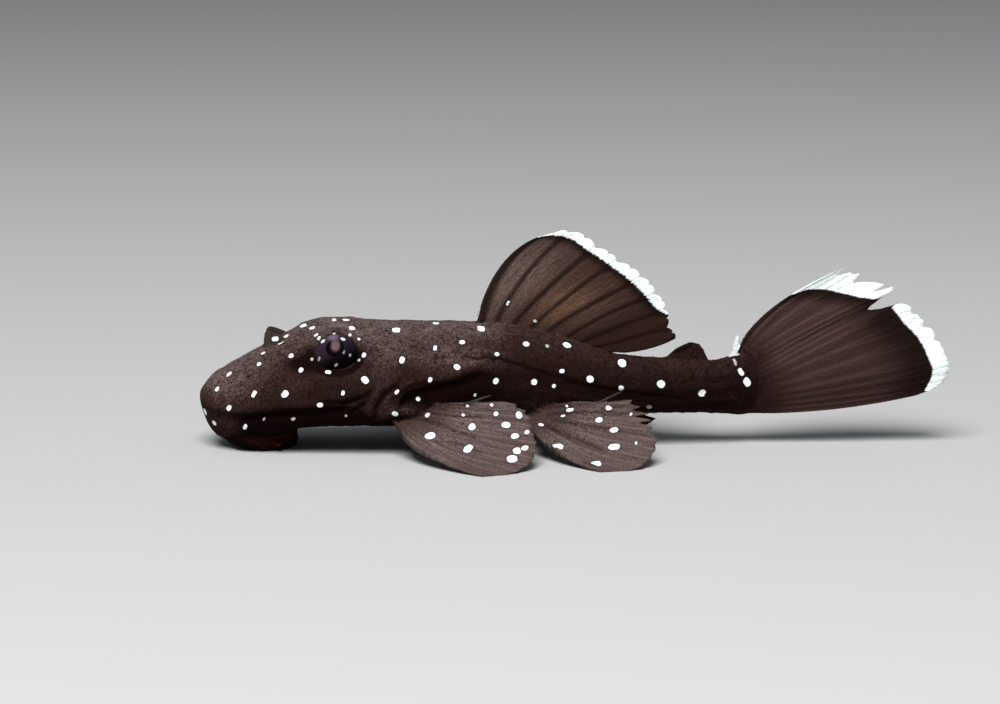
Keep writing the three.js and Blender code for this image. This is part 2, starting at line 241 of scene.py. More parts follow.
def sheet_faces(points, normals, half, values):
    """Front and back of a sheet, half its thickness away from its middle, on charts laid out flat."""
    centred = (points - points.mean((0, 1))).reshape(-1, 3)
    axes = np.linalg.svd(centred, full_matrices=False)[2][:2]
    flat = (centred @ axes.T).reshape(*points.shape[:2], 2)
    return [Face(points + side * half[..., None] * normals, side * normals, flat.copy(), dict(values))
            for side in (1, -1)]


@dataclass
class Shell:
    """A closed mesh: points with named values, triangles with their places on flat charts, and spots."""
    name: str
    points: np.ndarray
    triangles: np.ndarray
    values: dict
    flat: np.ndarray
    chart: np.ndarray
    faces: list
    spots: tuple = (np.zeros((0, 3)), np.zeros((0, 3)), np.zeros(0), np.zeros(0))

    def corner_values(self):
        """Values at the three corners of each triangle. A triangle has one spot, so its edge stays round."""
        corners = {key: value[self.triangles] for key, value in self.values.items()}
        for key, value in nearest_spot(corners["skin_at"].mean(1), self.spots).items():
            corners[key] = np.repeat(value[:, None], 3, axis=1)
        return corners


def halves(quads):
    """Two triangles for each quad, also for arrays of what stands at the corners."""
    return np.concatenate([quads[:, [0, 1, 2]], quads[:, [0, 2, 3]]])


def grid_quads(index):
    return np.stack([index[:-1, :-1], index[1:, :-1], index[1:, 1:], index[:-1, 1:]], -1).reshape(-1, 4)


def rim_quads(a, b):
    """Quads between two lines of point numbers."""
    return np.stack([a[:-1], a[1:], b[1:], b[:-1]], -1)


def shell_of(name, faces):
    """Closed shell from one face that meets itself, or from a front and a back face joined by rims."""
    grids, start = [], 0
    for face in faces:
        count = face.points[..., 0].size
        grids.append(np.arange(start, start + count).reshape(face.points.shape[:2]))
        start += count
    points = np.concatenate([face.points.reshape(-1, 3) for face in faces])
    places = np.concatenate([face.flat.reshape(-1, 2) for face in faces])
    values = {key: np.concatenate([face.values[key].reshape(-1, *face.values[key].shape[2:])
                                   for face in faces]) for key in faces[0].values}
    quads = [grid_quads(grids[0])]
    charts = [np.zeros(len(quads[0]), int)]
    if len(faces) == 2:
        front, back = grids
        quads.append(grid_quads(back)[:, ::-1])
        charts.append(np.ones(len(quads[1]), int))
        for rim in (rim_quads(front[:, -1], back[:, -1]), rim_quads(front[:, 0], back[:, 0])[:, ::-1],
                    rim_quads(front[-1], back[-1])[:, ::-1], rim_quads(front[0], back[0])):
            quads.append(rim)
            charts.append(np.zeros(len(rim), int))
    triangles = np.concatenate([halves(q) for q in quads])
    chart = np.concatenate([np.tile(c, 2) for c in charts])
    corners = places[triangles]
    if len(faces) == 2:
        # A rim lies on the front's chart, a little outside it on the side of the back
        count = grids[0].size
        over = (triangles >= count) & (chart == 0)[:, None]
        twin = places[:count].reshape(-1, 2)[triangles % count]
        middle = places[:count].mean(0)
        corners = np.where(over[..., None], twin + 0.12 * unit(twin - middle), corners)
    _, keep, merged = np.unique(np.round(points, 6), axis=0, return_index=True, return_inverse=True)
    triangles = merged.reshape(-1)[triangles]
    points = points[keep]
    values = {key: value[keep] for key, value in values.items()}
    real = ((triangles[:, 0] != triangles[:, 1]) & (triangles[:, 1] != triangles[:, 2])
            & (triangles[:, 2] != triangles[:, 0]))
    triangles, corners, chart = triangles[real], corners[real], chart[real]
    a, b, c = (points[triangles[:, k]] for k in range(3))
    if np.einsum("ij,ij->", a, np.cross(b, c)) < 0:
        triangles, corners = triangles[:, ::-1], corners[:, ::-1]
    return Shell(name, points, triangles, values, corners, chart, faces)


def grid_normals(points, flipped=False):
    along, across = np.gradient(points, axis=0), np.gradient(points, axis=1)
    return unit(np.cross(across, along) if flipped else np.cross(along, across))


# Looking through the camera, to find where a place in the picture lies on the fish

VIEW_UP = np.array([0, math.sin(VIEW_DOWN), math.cos(VIEW_DOWN)])
VIEW_FORWARD = np.array([0, math.cos(VIEW_DOWN), -math.sin(VIEW_DOWN)])
VIEW_FROM = VIEW_AIM - VIEW_DISTANCE * VIEW_FORWARD


def tree_of(points, triangles):
    return BVHTree.FromPolygons(points.tolist(), triangles.tolist())


def seen_at(tree, across, down):
    """Point of a surface seen at a place in the picture, or the nearest one to that line of sight."""
    direction = line_of_sight(across, down)
    hit = tree.ray_cast(Vector(VIEW_FROM), Vector(direction))[0]
    if hit is None:
        hit = VIEW_FROM + direction * VIEW_DISTANCE
        for _ in range(4):
            on_line = VIEW_FROM + direction * ((np.array(hit) - VIEW_FROM) @ direction)
            hit = tree.find_nearest(Vector(on_line))[0]
    return np.array(hit)


def line_of_sight(across, down):
    pixel = VIEW_SENSOR / VIEW_LENS / PICTURE_WIDTH
    return unit(VIEW_FORWARD + np.array([1, 0, 0]) * (across - PICTURE_WIDTH / 2) * pixel
                - VIEW_UP * (down - PICTURE_HEIGHT / 2) * pixel)


def in_picture(points):
    """Where points appear in the picture: across and down."""
    pixel = VIEW_SENSOR / VIEW_LENS / PICTURE_WIDTH
    away = points - VIEW_FROM
    depth = away @ VIEW_FORWARD * pixel
    return PICTURE_WIDTH / 2 + away[..., 0] / depth, PICTURE_HEIGHT / 2 - away @ VIEW_UP / depth


# Body

SNOUT_RINGS = 46
HEAD_RINGS = 78
TRUNK_RINGS = 112
HEAD_END = 17
AROUND_HALF = 120

# Lines of the skin as seen in the picture: (height of the ridge, how much paler, half width, places)
# A negative height is a groove, and a negative paleness is a dark line. Dark lines are painted shade in
# grooves and hollows, and pale lines on ridges are painted highlights; the pale brow and scar are the skin's
# own colour.
SKIN_LINES = [
    # ledge under the snout and cheek, and the hollow beneath it, with painted shade in the hollow
    (0.24, 0, 0.45, [(205, 404), (225, 410), (240, 412), (262, 409), (285, 406), (310, 406), (340, 400),
                     (358, 392)]),
    (-0.36, -0.1, 0.42, [(214, 415), (240, 421), (262, 418), (285, 416), (310, 416), (340, 411), (356, 404)]),
    # folds of the cheek behind the jaw, with painted shade in them and a painted highlight on the ridge
    # between
    (-0.28, -0.6, 0.12, [(318, 404), (330, 402), (345, 403), (356, 400), (366, 396), (373, 388)]),
    (-0.28, -0.5, 0.12, [(344, 421), (355, 411), (366, 402)]),
    (0.12, 0.1, 0.2, [(334, 407), (350, 407), (358, 404)]),
    # edge of the gill cover: painted shade in its groove, and a painted highlight on its ridge
    (-0.32, -0.4, 0.17, [(374, 420), (377, 407), (384, 395), (399, 384)]),
    (0.14, 0.08, 0.3, [(368, 412), (371, 402), (378, 391), (392, 380)]),
    # ridge of the shoulder with painted highlights, and the hollow under it with painted shade
    (0.34, 0.06, 0.5, [(386, 405), (403, 389), (425, 381), (450, 377), (470, 369), (486, 363)]),
    (-0.32, -0.2, 0.5, [(400, 409), (412, 398), (430, 392), (455, 387), (480, 377)]),
    (0.1, 0.12, 0.12, [(383, 404), (392, 393), (402, 385), (414, 380)]),
    (-0.12, -0.25, 0.1, [(388, 405), (397, 394), (410, 386), (428, 381)]),
    (0.06, 0.15, 0.12, [(452, 371), (466, 367), (478, 363)]),
    # line between the upper rows of plates, darkened with painted shade, and the low ridges below it with
    # painted highlights
    (-0.06, -0.16, 0.14, [(408, 347), (420, 347), (431, 350)]),
    (-0.14, -0.4, 0.14, [(432, 359), (440, 357), (450, 357)]),
    (-0.14, -0.55, 0.11, [(462, 355), (470, 357), (477, 360), (484, 356), (492, 359), (500, 358),
                          (509, 362)]),
    (-0.14, -0.5, 0.11, [(505, 360), (516, 364), (524, 365), (532, 370), (545, 373), (553, 377), (562, 377)]),
    (-0.1, -0.2, 0.18, [(562, 379), (590, 387), (620, 391), (650, 396), (690, 400)]),
    (0.1, 0.12, 0.35, [(425, 368), (450, 363), (480, 364), (510, 368), (530, 374)]),
    (0.08, 0.05, 0.35, [(440, 350), (465, 349), (495, 351), (520, 357)]),
    # hollow in front of the eye, and the nostril, darkened with painted shade
    (-0.3, 0, 0.6, [(284, 352), (297, 355), (306, 351)]),
    (-0.35, -0.3, 0.25, [(287, 343), (289, 346)]),
    # skin behind the eye with painted shade, pale brow above it, painted shadow in the hollow below it
    (-0.1, -0.1, 0.3, [(366, 345), (372, 358), (368, 372)]),
    (0.05, 0.5, 0.18, [(318, 334), (325, 328), (334, 325), (345, 325), (354, 329), (361, 337)]),
    (-0.05, -0.9, 0.26, [(311, 352), (312, 360), (319, 368), (329, 371), (341, 372), (352, 368), (358, 361),
                         (360, 352)]),
    # pale scar on the tail stalk
    (0.05, 0.3, 0.11, [(727, 391), (732, 397), (741, 405)]),
]

# Paler and darker areas of the skin in the picture, partly its own tone and partly painted light and shade:
# (across, down, half length, half height, how much paler)
PALE_AND_SHADE_PATCHES = [
    # snout, painted shade in the hollows before and behind the eye, cheek
    (226, 386, 28, 22, 0.5),
    (302, 362, 17, 9, -0.55),
    (309, 351, 6, 8, -0.3),
    (360, 352, 5, 9, -0.5),
    (292, 386, 18, 14, 0.1),
    # plates of the shoulder, gill cover
    (457, 359, 46, 12, 0.44),
    (386, 404, 13, 13, 0.16),
]

# Brown skin at the roots of the pectoral and pelvic fins, in the same terms
FIN_BASES = [(408, 411, 20, 7, 0.4), (545, 411, 15, 7, 0.35)]

# Edge between the upper skin, paler with painted light, and the underside, dark with painted shade, in the
# picture
SHADE_EDGE = [(205, 405), (240, 412), (285, 408), (340, 404), (356, 406), (366, 413), (378, 420), (391, 416),
             (399, 402), (406, 391), (430, 384), (450, 380), (480, 370), (505, 374), (540, 384), (590, 394),
             (650, 402), (700, 407), (740, 408)]

# Rows of plates along each flank
PLATE_ROWS = 5
PLATE_LENGTH = 1.17
PLATES_FROM = 15.5
PLATES_TO = 43.5
PLATES_TOP = 0.04
plates_bottom = smooth_through([(16, 0.72), (26, 0.74), (36, 0.95), (44, 0.96)])

# The skin darkens towards the tail
pale_along = smooth_through([(0, 1), (21.5, 1), (23.5, 0.8), (25.4, 0.38), (28, 0.36), (32, 0.28),
                             (44, 0.22)])
TAIL_WEDGE = 1.4


def plate_places(station, girth):
    """Number of the plate along its row, number of the row, and how strongly plates show."""
    row = (girth - PLATES_TOP) / (plates_bottom(station) - PLATES_TOP) * PLATE_ROWS
    across = row % 1
    column = (station - 0.3 * (1 - (2 * across - 1) ** 2)) / PLATE_LENGTH + 0.5 * (np.floor(row) % 2)
    in_rows = smoothstep(-0.2, 0.1, row) * (1 - smoothstep(PLATE_ROWS - 0.1, PLATE_ROWS + 0.2, row))
    shown = smoothstep(PLATES_FROM, PLATES_FROM + 2.5, station) * in_rows
    return column, row, shown * (1 - smoothstep(PLATES_TO - 1.5, PLATES_TO, station))


def plate_relief(station, girth):
    column, row, shown = plate_places(station, girth)
    along, across = column % 1, row % 1
    rear = along ** 1.3 * (1 - smoothstep(0.86, 1, along))
    keel = 0.07 * hump(across - 0.5, 0.17)
    groove = 0.03 * (hump(across, 0.08) + hump(1 - across, 0.08))
    return shown * (0.04 * rear + keel - groove)


def line_sums(points, lines):
    """Height of the ridges and grooves at each point, and how much lighter they make it, negative where
    darker.
    """
    sums = np.zeros((*points.shape[:-1], 2))
    flat, total = points.reshape(-1, 3), sums.reshape(-1, 2)
    for height, pale_and_shade, width, path in lines:
        reach = 3 * width
        near = np.flatnonzero(((flat > path.min(0) - reach) & (flat < path.max(0) + reach)).all(1))
        if len(near):
            gap = np.linalg.norm(flat[near, None] - path[None], axis=2)
            end = np.minimum(np.arange(len(path)), np.arange(len(path))[::-1]) / len(path)
            fade = smoothstep(-0.05, 0.12, end[gap.argmin(1)])
            total[near] += np.outer(hump(gap.min(1), width) * fade, (height, pale_and_shade))
    return sums[..., 0], sums[..., 1]


def patch_sums(points, patches):
    """How much the patches lighten each point, negative where they darken it."""
    across, down = in_picture(points)
    return sum(amount * hump((across - patch_across) / length, 1) * hump((down - patch_down) / height, 1)
               for patch_across, patch_down, length, height, amount in patches)


def resampled(path, step=0.08):
    """Points spaced evenly along a broken line."""
    path = np.array(path)
    gone = gone_along(path)
    at = np.linspace(0, gone[-1], max(int(gone[-1] / step), 2))
    return np.stack([np.interp(at, gone, path[:, k]) for k in range(path.shape[1])], -1)


def eye_axes(side):
    """Centre of an eye and its forward, outward and upward directions, for side -1 (left) or 1."""
    station, out, height = EYE_CENTRE
    outward = np.array([0, side * math.cos(EYE_LOOKS_UP), math.sin(EYE_LOOKS_UP)])
    upward = np.array([0, -side * math.sin(EYE_LOOKS_UP), math.cos(EYE_LOOKS_UP)])
    return place(station, side * out, height), np.array([1, 0, 0]), outward, upward


def on_eye(points, side):
    """How far points stand out from an eye's middle and up on it, and how far from its axis, 1 at its rim."""
    centre, *axes = eye_axes(side)
    along, out, up = np.moveaxis((points - centre) @ np.array(axes).T / EYE_HALVES, -1, 0)
    return out * EYE_HALVES[1], up, np.hypot(along, up)


def around_eye(points, side):
    """Skin drawn in close around the eyeball, with a low rim, and kept under the ball inside it."""
    out, up, radius = on_eye(points, side)
    ball = EYE_HALVES[1] * np.sqrt(np.clip(1 - radius**2, 0, 1))
    # The brow covers a little more of the ball than the skin below it
    above = smoothstep(-0.2, 1, up / np.maximum(radius, 0.1))
    opening = EYE_OPENING - 0.1 * above
    edge = EYE_HALVES[1] * np.sqrt(1 - opening**2)
    inside = np.minimum(out, ball - 0.3 * smoothstep(0, 0.1, opening - radius))
    t = smoothstep(opening, opening + 0.7, radius)
    outside = blend(edge + 0.05, out, t) + (0.1 + 0.06 * above) * hump(radius - opening - 0.14, 0.12)
    target = np.where(radius < opening, inside, outside)
    near = (out > -0.3) & (radius < opening + 0.8)
    return points + np.where(near, target - out, 0)[..., None] * eye_axes(side)[2]


def half_rings():
    """Stations of the body's rings, and the shares, angles and length of the points along half of each."""
    snout = SNOUT_ROUND_PLAN * (1 - np.cos(np.linspace(0, math.pi / 2, SNOUT_RINGS + 1)))
    head = np.linspace(SNOUT_ROUND_PLAN, HEAD_END, HEAD_RINGS + 1)[1:]
    trunk = np.linspace(HEAD_END, BODY_END + TAIL_WEDGE, TRUNK_RINGS + 1)[1:]
    stations = np.concatenate([snout, head, trunk])
    # Points stand evenly along each half ring, from the back to the belly
    shares = np.linspace(0, 1, AROUND_HALF + 1)
    fine = np.linspace(0, math.pi, 601)
    angles, lengths = [], []
    for station in stations:
        gone = gone_along(body_point(station, fine))
        angles.append(np.interp(shares * gone[-1], gone, fine))
        lengths.append(gone[-1])
    return stations, shares, np.array(angles), np.array(lengths)


def body_values(base, station, girth, tree, pale_and_shade):
    """Markings of the left half of the body, whose middle tone and dark edge follow the picture.
    The back is made paler with painted light, and the underside below the edge dark with painted shade.
    """
    edge = np.array([seen_at(tree, *at) for at in SHADE_EDGE])
    edge_height = smooth_through([(p[0] + TOTAL_LENGTH / 2, p[2]) for p in edge])(station)
    over_edge = base[..., 2] - edge_height
    # Painted light: the skin grows paler towards the back, besides its lines and patches
    to_back = np.clip(over_edge / (back_height(station) - edge_height), 0, 1)
    pale_and_lit = np.clip(0.07 + 0.9 * to_back**2.3 + pale_and_shade + patch_sums(base, PALE_AND_SHADE_PATCHES), 0, 1.35)
    fin_base = patch_sums(base, FIN_BASES)
    # Painted shade of the underside below the edge, weaker on the chin and towards the tail
    below = smoothstep(0, 0.35, -over_edge) * smoothstep(0.2, 0.4, girth)
    chin = 1 - smoothstep(2.5, 4.5, station)
    dark = below * (1 - 0.9 * chin) * (1 - 0.5 * smoothstep(21, 27, station))
    lower = below * (0.2 * chin + 0.13 * smoothstep(18, 25, station))
    return blank_values(base) | {
        "pale_and_lit": pale_and_lit * pale_along(station) * smoothstep(-0.25, 0.08, over_edge) + fin_base + lower,
        "under": dark * (1 - np.clip(2.5 * fin_base, 0, 1)),
        "plate": stacked(*plate_places(station, girth)),
    }


def body_shell():
    """Both flanks, joined along the back and the belly."""
    stations, shares, angles, lengths = half_rings()
    station, girth = np.broadcast_arrays(stations[:, None], shares[None])
    base = body_point(station, angles)
    # The tail thins to a wedge between the rays of its fin, its rear edge curved
    thinned = smoothstep(BODY_END - 2, BODY_END + TAIL_WEDGE * (1 - 0.8 * (2 * girth - 1) ** 2), station)
    base[..., 1] *= 1 - 0.93 * thinned
    lowered = 0.3 * smoothstep(BODY_END - 1, stations[-1], station)
    base[..., 2] = blend(base[..., 2], widest_height(station), lowered)
    normals = grid_normals(base, flipped=True)
    normals[0] = (-1, 0, 0)
    normals[:, [0, -1], 1] = 0
    normals = unit(normals)
    quads = grid_quads(np.arange(station.size).reshape(station.shape))
    tree = tree_of(base.reshape(-1, 3), halves(quads))
    lines = [(height, pale_and_shade, width, resampled([seen_at(tree, *at) for at in path]))
             for height, pale_and_shade, width, path in SKIN_LINES]
    ridges, pale_and_shade = line_sums(base, lines)
    values = body_values(base, station, girth, tree, pale_and_shade)
    relief = plate_relief(station, girth) + ridges
    lump = 0.09 - 0.04 * smoothstep(14, 17, station)
    # The chart is a flank laid out flat: length along the skin against distance from the back
    laid = gone_along(stacked(stations, lengths / math.pi))
    flat = stacked(laid[:, None], girth * lengths[:, None])
    faces = []
    for side in (-1, 1):
        flip = np.array([1, -side, 1])
        face = Face(base * flip, normals * flip, flat, dict(values))
        lumps = rough(face.points, 1.6) * lump + rough(face.points + 9, 0.5) * 0.025
        raised = (relief + lumps) * smoothstep(0, 1, station)
        face.points = around_eye(face.points + face.normals * raised[..., None], side)
        faces.append(face)
    # Both halves share the middle lines of the back and the belly, and the tip of the snout
    for middle in (np.s_[:, 0], np.s_[:, -1], 0):
        faces[1].points[middle] = faces[0].points[middle]
    for face in faces:
        face.values["skin_at"] = face.points
    return shell_of("body", faces)


# Fins

# Kinds of skin, as the material reads them. The body's is 0.
PAIRED_FIN, MIDDLE_FIN, TAIL_FIN, LIP, FLAP, BARE_RAY = range(1, 7)


@dataclass
class Fin:
    """A fin between the points of its roots and of its tips, bowed by bend(u), with forked rays."""
    name: str
    roots: list
    tips: list
    bend: object
    rays: int
    per_ray: int
    rows: int
    kind: int
    first_ray: float = 0.9
    ray: float = 0.4
    web: float = 0.3
    edge: float = 0.08
    # How far the web falls short of the ray tips, as a share of the ray, or the reverse where it bulges
    fringe: object = 0.03
    lobed: bool = False
    wave: float = 0.12
    # Shares of a ray between which its branches part, and how far. Those of this fish don't fork again.
    fork: tuple = (0.5, 0.95, 0.2)
    twig: tuple = (0.99, 1.0, 0)
    # Cuts in the edge: how deep they are, as a share of the ray, and the width of the white seam in mm
    notches: object = None
    seam: object = None
    fleshy: bool = False


def broken_line(knots):
    """Function that runs straight from each (at, value) knot to the next."""
    return lambda x: np.interp(x, *np.array(knots).T)


FINS = [
    Fin("pectoral_fin",
        [(15.5, -5.2, 2.9), (16.1, -5.1, 3.4), (16.8, -5, 4)],
        [(22.7, -14.8, 0.15), (25, -13.7, 0.15), (26.5, -12.1, 0.65), (26.95, -10.4, 1.6),
         (26.6, -9, 2.7), (26.3, -7.8, 3.7), (25, -6.9, 4.5)],
        lambda u: stacked(-1.9 * (1 - u), -0.9 - 0.1 * u, -0.8 + 1.2 * u),
        rays=7, per_ray=12, rows=32, kind=PAIRED_FIN, fork=(0.3, 0.8, 0.25),
        fringe=smooth_through([(0, 0.01), (0.7, 0.02), (0.85, 0.05), (1, 0.1)])),
    Fin("pelvic_fin",
        [(25.7, -3.5, 2.9), (26.3, -3.3, 3.3), (27, -3.1, 3.7)],
        [(31.8, -12.8, 0.15), (34.6, -12, 0.18), (36, -10.4, 0.95), (36.4, -8.6, 2.2),
         (36.1, -6.8, 3.4), (35, -5.1, 4.4)],
        lambda u: stacked(-1.2 * (1 - u), -1 - 0.1 * u, -0.9 + 1.2 * u),
        rays=6, per_ray=12, rows=30, kind=PAIRED_FIN, fork=(0.3, 0.8, 0.25),
        fringe=smooth_through([(0, 0.01), (0.55, 0.02), (0.68, 0.05), (1, 0.06)]),
        notches=broken_line([
            (0.6, 0), (0.64, 0.07), (0.68, 0), (0.72, 0.12), (0.76, 0), (0.79, 0.15), (0.83, 0), (0.87, 0.15),
            (0.91, 0), (0.95, 0.12), (1, 0.02)])),
    Fin("dorsal_fin",
        [(21.9, 0, 8.9), (25.1, 0, 8.7), (28.6, 0, 8), (31.5, 0, 7.65)],
        [(27.1, 0, 16.8), (29.8, 0, 17.35), (32.1, 0, 16.15), (33.8, 0, 15), (35.5, 0, 13.7),
         (36.7, 0, 12.3), (37.45, 0, 11), (37.7, 0, 9.6), (38.35, 0, 8.75)],
        lambda u: stacked(-1.4 * (1 - u) ** 6 - 1.2 * u * (1 - u) + 0.2 * u**8, 0,
                          2.3 * (1 - u) ** 6 + 1.8 * u * (1 - u) - 1.25 * u**8),
        rays=9, per_ray=12, rows=34, kind=MIDDLE_FIN, wave=0.16, lobed=True, fringe=0.065,
        fork=(0.8, 1, 0.1),
        seam=smooth_through([(0, 0.1), (0.06, 0.5), (0.1, 0.85), (0.25, 1.05), (0.5, 1.1), (0.7, 0.9),
                             (0.78, 0.3), (0.82, -1)])),
    Fin("caudal_fin",
        [(42.9, 0, 7.4), (43.4, 0, 6.4), (43.6, 0, 5), (43.4, 0, 3.6), (43, 0, 2.55)],
        [(50.9, 0, 14.1), (51.7, 0, 14.35), (52.7, 0, 13.95), (54.9, 0, 13), (55.5, 0, 12.65),
         (54.3, 0, 11.7), (53.5, 0, 10.95), (54.3, 0, 11), (56.4, 0, 11.4), (57.7, 0, 10.25),
         (58.9, 0, 8.9), (59.7, 0, 7.25), (60, 0, 6.3), (59.7, 0, 5.2), (58.8, 0, 4.55),
         (57.4, 0, 4)],
        lambda u: stacked(0.2 - 2.8 * (1 - u) ** 3, 0, 0.3 * (1 - u) ** 3 - 0.9 * u**3),
        rays=16, per_ray=12, rows=40, kind=TAIL_FIN, first_ray=0.6, ray=0.32, wave=0.22,
        fork=(0.45, 1, 0.25),
        fringe=smooth_through([(0, 0.012), (0.3, 0.01), (0.6, 0.005), (1, 0.003)]),
        notches=broken_line([
            (0, 0.03), (0.02, 0), (0.035, 0.05), (0.06, 0), (0.09, 0.09), (0.115, 0.02), (0.125, 0.04),
            (0.14, 0), (0.155, 0.095), (0.165, 0.045), (0.2, 0), (0.215, 0.1), (0.245, 0), (0.56, 0),
            (0.575, 0.025), (0.585, 0), (0.61, 0), (0.63, 0.03), (0.64, 0), (0.665, 0), (0.68, 0.025),
            (0.69, 0), (1, 0)]),
        seam=smooth_through([(0, 3.3), (0.067, 2.95), (0.133, 2.5), (0.2, 2.25), (0.267, 1.85), (0.3, 0.9),
                             (0.33, -1), (0.5, -1), (0.515, 0.6), (0.55, 1.2), (0.6, 1.35), (0.86, 1.4),
                             (0.91, 1), (0.945, 0.5), (0.97, -1)])),
    Fin("anal_fin",
        [(31.6, 0, 3.4), (32.6, 0, 3.4), (33.6, 0, 3.5)],
        [(34.6, 0, 1.5), (35.8, 0, 1.6), (36.6, 0, 2.1)],
        lambda u: stacked(0 * u, 0, -0.3),
        rays=5, per_ray=8, rows=16, kind=MIDDLE_FIN, wave=0.05),
    Fin("adipose_fin",
        [(36.5, 0, 6.4), (38.5, 0, 6.2), (40.75, 0, 6.2)],
        [(39.2, 0, 8.3), (39.9, 0, 8.2), (40.4, 0, 7.6), (40.75, 0, 6.8)],
        lambda u: stacked(-0.25 * (1 - u), 0, 0.3 * (1 - u)),
        rays=3, per_ray=10, rows=16, kind=MIDDLE_FIN, wave=0.03, fleshy=True),
]


# Dark streaks of the paired fins in the picture: (half width, places)
FIN_STREAKS = {
    "pectoral_fin": [
        (4.5, [(408, 419), (424, 413), (434, 406), (446, 403)]),
        (2, [(408, 416), (432, 423), (452, 430), (476, 438)]),
        (1.3, [(432, 414), (458, 417), (482, 417)]),
        (1.3, [(438, 409), (460, 409), (490, 410)]),
        (1.2, [(445, 405), (475, 405)]),
        (1.8, [(452, 442), (480, 453)]),
    ],
    "pelvic_fin": [
        (3, [(534, 412), (548, 406), (560, 403)]),
        (1.5, [(550, 409), (590, 404), (622, 400)]),
        (1.7, [(548, 416), (575, 413), (612, 412)]),
        (2.1, [(556, 421), (590, 427), (622, 432)]),
        (2.8, [(546, 427), (575, 439), (602, 450)]),
        (3, [(534, 438), (550, 452), (566, 463)]),
        (1.3, [(600, 409), (640, 404)]),
        (1.3, [(604, 416), (646, 412)]),
    ],
}


def streak_sums(points, streaks):
    """How dark the streaks make each point."""
    across, down = in_picture(points)
    total = np.zeros(across.shape)
    for width, path in streaks:
        path = resampled(path, 1)
        gap = np.hypot(across[..., None] - path[:, 0], down[..., None] - path[:, 1]).min(-1)
        total += hump(gap, width)
    return np.minimum(total, 1)


def spread(branch, along):
    """How far a branch has moved from its ray, for (from, to, shift) along the ray."""
    return branch[2] * smoothstep(branch[0], branch[1], along)


def from_branch(fin, phase, along):
    """Distance to the nearest branch of a ray, where 1 is the distance between rays."""
    gap = np.abs(phase - np.round(phase))
    return np.abs(np.abs(gap - spread(fin.fork, along)) - spread(fin.twig, along))


def reach_of(fin, u):
    """How far the fin reaches towards its tip line, as a share of each ray."""
    phase = u * (fin.rays - 1)
    gap = np.abs(phase - np.round(phase)) * 2
    uneven = np.interp(phase, np.arange(fin.rays), rng.uniform(0, 1, fin.rays))
    if fin.lobed:
        # A deep cut at each ray and a shallow one halfway between
        short = 0.8 * (1 - gap) ** 3 + 0.5 * np.abs(2 * gap - 1) ** 4 * gap
    else:
        # Each branch ends in a point
        short = np.minimum(from_branch(fin, phase, 1.0) / 0.25, 1) ** 1.2
    fringe = fin.fringe(u) if callable(fin.fringe) else fin.fringe
    cut = fringe * (0.3 * uneven + 0.7 * short) * smoothstep(0, 0.03, u)
    return 1 - cut - (fin.notches(u) if fin.notches else 0)


def fin_middle(fin, u, v, reach):
    """Middle surface of a fin, bowed and gently waved, and its normals."""
    t = (v * reach)[..., None]
    roots, tips = (through_points(line)(u[:, 0])[:, None] for line in (fin.roots, fin.tips))
    middle = (roots + tips) / 2 + fin.bend(u[:, 0])[:, None]
    points = roots * (1 - t) ** 2 + middle * (2 * t * (1 - t)) + tips * t**2
    normals = grid_normals(points)
    phase = u * (fin.rays - 1)
    swing = np.sin(phase * 1.7 + 1) * 0.6 + np.sin(phase * 0.6 + 2 * v) * 0.4
    return points + normals * (fin.wave * swing * v**1.5)[..., None], normals


def fin_faces(fin):
    """The two faces of a fin of the left side or of the middle line."""
    columns = (fin.rays - 1) * fin.per_ray
    u = np.linspace(0, 1, columns + 1)[:, None]
    v = np.linspace(0, 1, fin.rows + 1)[None]
    reach = reach_of(fin, u)
    points, normals = fin_middle(fin, u, v, reach)
    phase, along = np.broadcast_arrays(u * (fin.rays - 1), v)
    facing = -np.sign((normals @ VIEW_FORWARD).mean())
    spacing = np.linalg.norm(np.gradient(points, axis=0), axis=2) * fin.per_ray
    first = 1 - smoothstep(0.3, 0.9, phase)
    size = blend(fin.ray, fin.first_ray, first) * (1 - 0.65 * along)
    width = blend(0.13, 0.32, first) * (1 - 0.45 * along)
    # Rays wander a little from even spacing
    wander = 0.07 * np.sin(phase * 2.3 + fin.kind) * np.sin(along * 5 + phase)
    phase = phase + wander * smoothstep(0.9, 1.4, phase)
    ridge = hump(from_branch(fin, phase, along) * spacing, width)
    web = blend(fin.web, fin.edge, smoothstep(0, 0.75, along))
    half = np.maximum(web, web + (size - web) * ridge) / 2 * (1 - 0.45 * smoothstep(0.9, 1, along))
    # Length of each ray, and what is left of it up to the tip line
    length = np.linalg.norm(np.diff(points, axis=1), axis=2).sum(1)[:, None] / reach
    to_tip = length * (1 - v * reach)
    # The skin of the body runs out over the root, furthest on the tail
    is_tail = fin.kind == TAIL_FIN
    root = (0.08, 0.34) if is_tail else (0, 0.12)
    pale_and_lit = 0.25 if fin.kind == PAIRED_FIN else 0.14
    values = blank_values(points, fin.kind) | {
        # Both faces carry the markings of the one that the camera sees, laid over its rays
        "skin_at": points + normals * (facing * web / 2)[..., None],
        "pale_and_lit": np.full(along.shape, pale_and_lit) + is_tail * (0.08 - 0.18 * u),
        "under": streak_sums(points, FIN_STREAKS.get(fin.name, [])),
        "branch": stacked(phase, spread(fin.fork, along), spread(fin.twig, along)),
        "fin_at": stacked(u, along, along * length),
        "spacing": spacing,
        # How far inside the white seam a place is
        "seam": (fin.seam(u) if fin.seam else -9.0) - to_tip,
    }
    if not fin.fleshy:
        values["fin"] = smoothstep(*root, along)
    return sheet_faces(points, normals, half, values)


def fin_shells():
    shells = []
    for fin in FINS:
        faces = fin_faces(fin)
        if fin.kind == PAIRED_FIN:
            # Pressed flat where they reach the floor
            for face in faces:
                face.points[..., 2] = np.maximum(face.points[..., 2], 0)
            shells.append(shell_of(fin.name + "_left", faces))
            shells.append(shell_of(fin.name + "_right", [face.mirrored() for face in faces]))
        else:
            shells.append(shell_of(fin.name, faces))
    return shells


# Mouth

